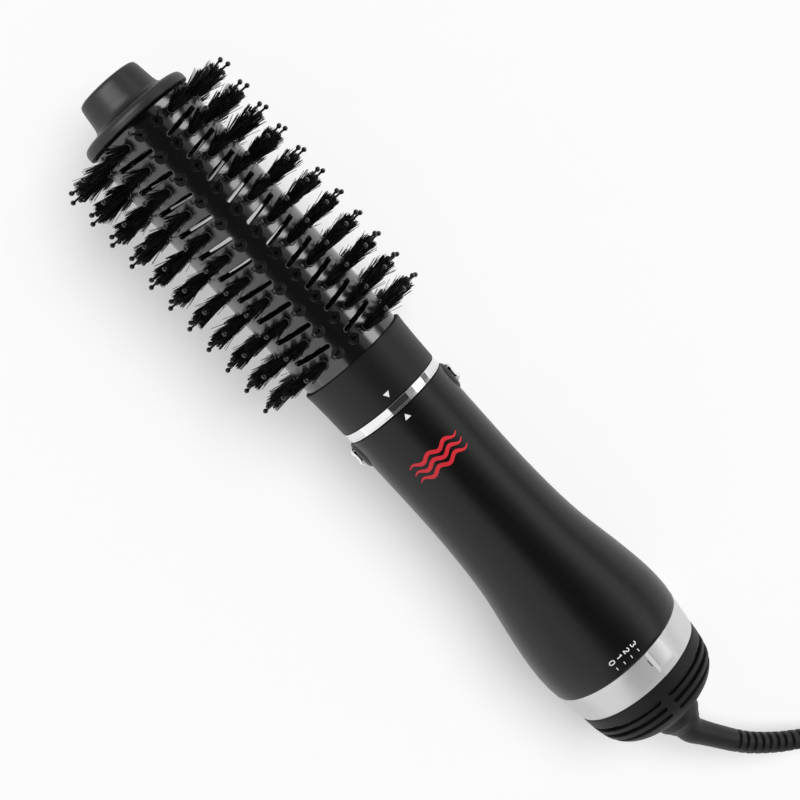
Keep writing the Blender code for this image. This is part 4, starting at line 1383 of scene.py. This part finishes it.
# figures 1 wide and 2 high, drawn with round strokes
FIGURES = {
    "0": [("closed", arc(0.5, 1.0, 0.5, 0.95, 0, 360, 24)[:-1])],
    "1": [("open", [(0.12, 1.55), (0.36, 1.74), (0.56, 1.95)]), ("open", [(0.56, 1.95), (0.56, 1.3), (0.56, 0.65), (0.56, 0.05)])],
    "2": [("open", arc(0.5, 1.45, 0.46, 0.5, 165, -25, 14) + [(0.62, 0.85), (0.3, 0.45), (0.06, 0.08)]), ("open", [(0.0, 0.1), (0.5, 0.1), (1.0, 0.1)])],
    "3": [("open", arc(0.46, 1.47, 0.42, 0.46, 150, -75, 14)), ("open", arc(0.46, 0.55, 0.48, 0.5, 80, -150, 16))],
}
scale_marks = []
for figure, phi in (("3", -10.4), ("2", -3.7), ("1", 2.9), ("0", 9.6)):
    s0 = math.radians(phi) * 34.3
    # small tick that the ring's line is set against
    scale_marks.append(
        ribbon([(321.3 + 0.3 * k, s0) for k in range(6)], 0.36, handle_r)
    )
    for kind, line in FIGURES[figure]:
        pts = [(317.6 + 1.7 * px, s0 + 1.3 - 1.3 * py) for px, py in line]
        scale_marks.append(ribbon(pts, 0.46, handle_r, closed=kind == "closed"))
piece("printed_scale", scale_marks, "mark", "handle", sharp=40)

waves = []
for x0, shift in ((201.6, 0.0), (205.2, 0.0), (208.8, 0.0)):
    pts = []
    for k in range(91):
        s_ = -11.5 + 26.5 * k / 90
        pts.append((x0 + 0.95 * math.sin(2 * math.pi * (s_ + 11.5) / 8.83), s_))
    waves.append(ribbon(pts, 1.75, handle_r, ends=0.25))
piece("airflow_mark", waves, "red", "handle", sharp=40)

# ============================================================== selector ring
BASE = fillet(
    [
        (325.7, 31.0),
        (325.7, 33.75, 0.32),
        (328.8, 33.48),
        (332.0, 33.1),
        (334.5, 32.78),
        (336.0, 32.58),
        (337.2, 32.41),
        (339.9, 32.02, 0.35),
        (339.9, 31.0),
    ],
    steps=5,
)
RAISED = fillet(
    [
        (325.7, 31.0),
        (325.05, 34.95, 0.35),
        (328.8, 35.05),
        (332.0, 34.75),
        (334.6, 34.42),
        (335.9, 34.12),
        (337.0, 33.6),
        (339.9, 32.1, 0.3),
        (339.9, 31.0),
    ],
    steps=5,
)
assert len(BASE) == len(RAISED)
# the overhanging lip of the ridge starts clear of the handle's edge
RAISED = [(max(x, 325.62) if r < 33.9 else x, r) for x, r in RAISED]
BOSS_TABLE = [(-33.2, 0.0), (-32.6, 0.06), (-28.3, 0.94), (-27.6, 1.0), (-14.7, 1.0), (-14.1, 0.94), (-11.6, 0.06), (-11.0, 0.0)]
angles = sorted(
    set([round(2.5 * k, 2) for k in range(-72, 72)])
    | {a for a, _ in BOSS_TABLE}
    | {-31.5, -30.4, -29.3, -13.3, -12.4, -27.9, -14.4, -32.9, -11.3}
)
rings = []
for phi in angles:
    w = value_at(BOSS_TABLE, phi) if -33.2 < phi < -11.0 else 0.0
    rings.append(
        [
            polar(b[0] + (q[0] - b[0]) * w, b[1] + (q[1] - b[1]) * w, phi)
            for b, q in zip(BASE, RAISED)
        ]
    )
piece(
    "heat_selector", loft(rings, path_closed=True), "silver", "selector", ("selector_ring",), sharp=38
)


def ring_r(x):
    return value_at([(325.7, 33.75), (328.8, 33.48), (332.0, 33.1), (336.0, 32.58), (339.9, 32.02)], x)


# the engraved pointer line, drawn as a near-black ribbon on the ring's skin: painted shade of the groove
piece(
    "selector_line",
    ribbon([(328.6 + 0.5 * k, math.radians(-10.45) * 33.3) for k in range(8)], 0.42, ring_r),
    "dark",
    "selector",
    sharp=40,
)

# ============================================================== rear cap
cap_points = spline(
    [
        (340.15, 31.75),
        (340.35, 31.98),
        (343.0, 31.86),
        (346.0, 31.58),
        (350.0, 30.92),
        (354.0, 29.85),
        (357.0, 28.2),
        (360.0, 25.5),
        (362.5, 21.6),
        (364.5, 17.2),
        (366.0, 13.2),
        (366.55, 11.2),
        (366.6, 9.4),
    ],
    8,
)
cap_line = Profile(cap_points)
rows = [cap_line.where(x) for x in (346.95, 351.35, 355.85)]
gap = (rows[1] - rows[0]) / 2
walls = [rows[0] - gap, (rows[0] + rows[1]) / 2, (rows[1] + rows[2]) / 2, rows[2] + gap]
before = [0.0, 0.12, 0.3, 1.2, 2.6, 3.9, walls[0]]
after = [walls[-1] + (cap_line.t[-1] - walls[-1]) * k / 22 for k in range(23)]
cap = piece(
    "rear_cover",
    slotted(cap_line, rows, walls, 4, 43.5, 41.2, 1.15, 0.26, 2.2, 26, 6, before, after),
    "tail",
    "handle",
    ("rear_cap",),
    sharp=55,
)

# ============================================================== swivel
piece(
    "swivel_neck",
    lathe(
        fillet(
            [
                (367.0, 11.55, 0.25),
                (367.55, 11.62, 0.2),
                (367.95, 11.3, 0.1),
                (369.4, 11.25, 2.0),
                (371.4, 10.6, 2.0),
                (373.2, 9.1, 1.5),
                (374.9, 8.15, 0.6),
                (375.35, 7.9, 0.3),
                (375.35, 2.7),
                (349.0, 2.7),
                (349.0, 5.0, 0.3),
                (367.0, 5.0),
            ],
            steps=4,
        ),
        96,
    ),
    "rubber",
    "swivel",
    ("cord_swivel",),
    sharp=40,
)

# ============================================================== inner pieces
for node, mat in (
    ("outlet_guide", "inner"),
    ("heater_former", "mica"),
    ("heater_winding", "wire"),
    ("thermostat", "steel"),
    ("thermal_fuse", "steel"),
    ("fan_duct", "inner"),
    ("motor_can", "steel"),
    ("motor_shaft", "steel"),
    ("fan", "inner"),
    ("control_board", "board"),
    ("switch_block", "inner"),
    ("switch_slider", "inner"),
    ("intake_screen", "screen"),
    ("swivel_bushing", "inner"),
    ("swivel_clip", "steel"),
    ("lead_live", "lead"),
    ("lead_neutral", "lead"),
):
    obj = frame["nodes"][node]
    obj.data.materials.clear()
    obj.data.materials.append(MAT[mat])

# ============================================================== the stage
floor_mesh = bpy.data.meshes.new("floor")
N = 8
floor_mesh.from_pydata(
    [(-12 + 24 * i / N, -12 + 24 * j / N, 0) for j in range(N + 1) for i in range(N + 1)],
    [],
    [
        (j * (N + 1) + i, j * (N + 1) + i + 1, (j + 1) * (N + 1) + i + 1, (j + 1) * (N + 1) + i)
        for j in range(N)
        for i in range(N)
    ],
)
floor = bpy.data.objects.new("floor", floor_mesh)
scene.collection.objects.link(floor)
paper = finish_of("pale_paper", (0.46, 0.46, 0.4625), 0.9, grain=600, bump=0.02, tint=0.004, spec=0.0)
lit = paper.node_tree.nodes["Principled BSDF"]  # a light table: it glows a little itself
lit.inputs["Emission Color"].default_value = (1.0, 1.0, 1.005, 1)
lit.inputs["Emission Strength"].default_value = 0.45
floor_mesh.materials.append(paper)

world = bpy.data.worlds.new("studio")
scene.world = world
world.use_nodes = True
back = world.node_tree.nodes["Background"]
back.inputs["Color"].default_value = (1.0, 1.0, 1.005, 1)
# dim as a light, and as pale as the floor where it shows past the floor's edge
ray = world.node_tree.nodes.new("ShaderNodeLightPath")
shown = world.node_tree.nodes.new("ShaderNodeMapRange")
shown.inputs["To Min"].default_value = 0.2
shown.inputs["To Max"].default_value = 0.96
world.node_tree.links.new(ray.outputs["Is Camera Ray"], shown.inputs["Value"])
world.node_tree.links.new(shown.outputs["Result"], back.inputs["Strength"])
world.cycles_visibility.glossy = False

def panel(name, where_, facing, size, radiance, glossy=True, diffuse=False):
    """A soft box of the given radiance. facing is the way it shines."""
    data = bpy.data.lights.new(name, "AREA")
    data.shape = "RECTANGLE"
    data.size, data.size_y = size
    data.energy = radiance * math.pi * size[0] * size[1]
    obj = bpy.data.objects.new(name, data)
    scene.collection.objects.link(obj)
    z = -Vector(facing).normalized()
    x = Vector((0, 1, 0)) if abs(z.x) > 0.9 else Vector((1, 0, 0))
    y = z.cross(x).normalized()
    x = y.cross(z).normalized()
    m = Matrix((x, y, z)).transposed().to_4x4()
    m.translation = Vector(where_)
    obj.matrix_world = m
    obj.visible_camera = False
    obj.visible_diffuse = diffuse
    obj.visible_glossy = glossy
    return obj


LONG = 3.6
panel("strip_left", (0, 1.2, 0.795), (0, -1, 0), (LONG, 0.81), 1.6)
strip_head = panel("strip_head", (0, 1.22, 0.86), (0, -1, 0), (LONG, 0.68), 2.6)
panel("upper_left", (0, 1.2, 1.75), (0, -1, 0), (LONG, 1.1), 0.35)
panel("lower_left", (0, 1.2, 0.195), (0, -1, 0), (LONG, 0.39), 0.2)
panel("box_right", (0, -1.2, 1.9), (0, 1, 0), (LONG, 3.8), 1.1)
panel("overhead", (0.55, 0, 2.4), (0, 0, -1), (2.3, 2.3), 0.04)
over_tip = panel("over_tip", (-1.2, -0.5, 2.4), (0, 0, -1), (0.9, 2.4), 8.5)
panel("end_cord", (1.9, 0, 1.0), (-1, 0, 0), (2.3, 2.0), 0.5)
panel("end_tip", (-1.9, 0, 1.0), (1, 0, 0), (2.3, 2.0), 0.5)

# the glossy barrel and its pins catch a brighter strip than the matte grip does
lit_parts = bpy.data.collections.new("lit_by_strip_head")
for o in scene.collection.all_objects:
    if o.name.startswith(("slotted_barrel", "pins_row_", "bosses_row_")):
        lit_parts.objects.link(o)
strip_head.light_linking.receiver_collection = lit_parts
knob_only = bpy.data.collections.new("lit_by_over_tip")
knob_only.objects.link(knob)
over_tip.light_linking.receiver_collection = knob_only

sun = bpy.data.lights.new("key", "SUN")
sun.energy = 3.1
sun.angle = math.radians(40)
sun_obj = bpy.data.objects.new("key", sun)
scene.collection.objects.link(sun_obj)
sun_obj.rotation_mode = "QUATERNION"
sun_obj.rotation_quaternion = Vector((0.05, -0.35, -1.0)).to_track_quat("-Z", "Y")
sun_obj.visible_glossy = False
sun_obj.visible_camera = False

scene.view_settings.view_transform = "Standard"
scene.view_settings.look = "None"
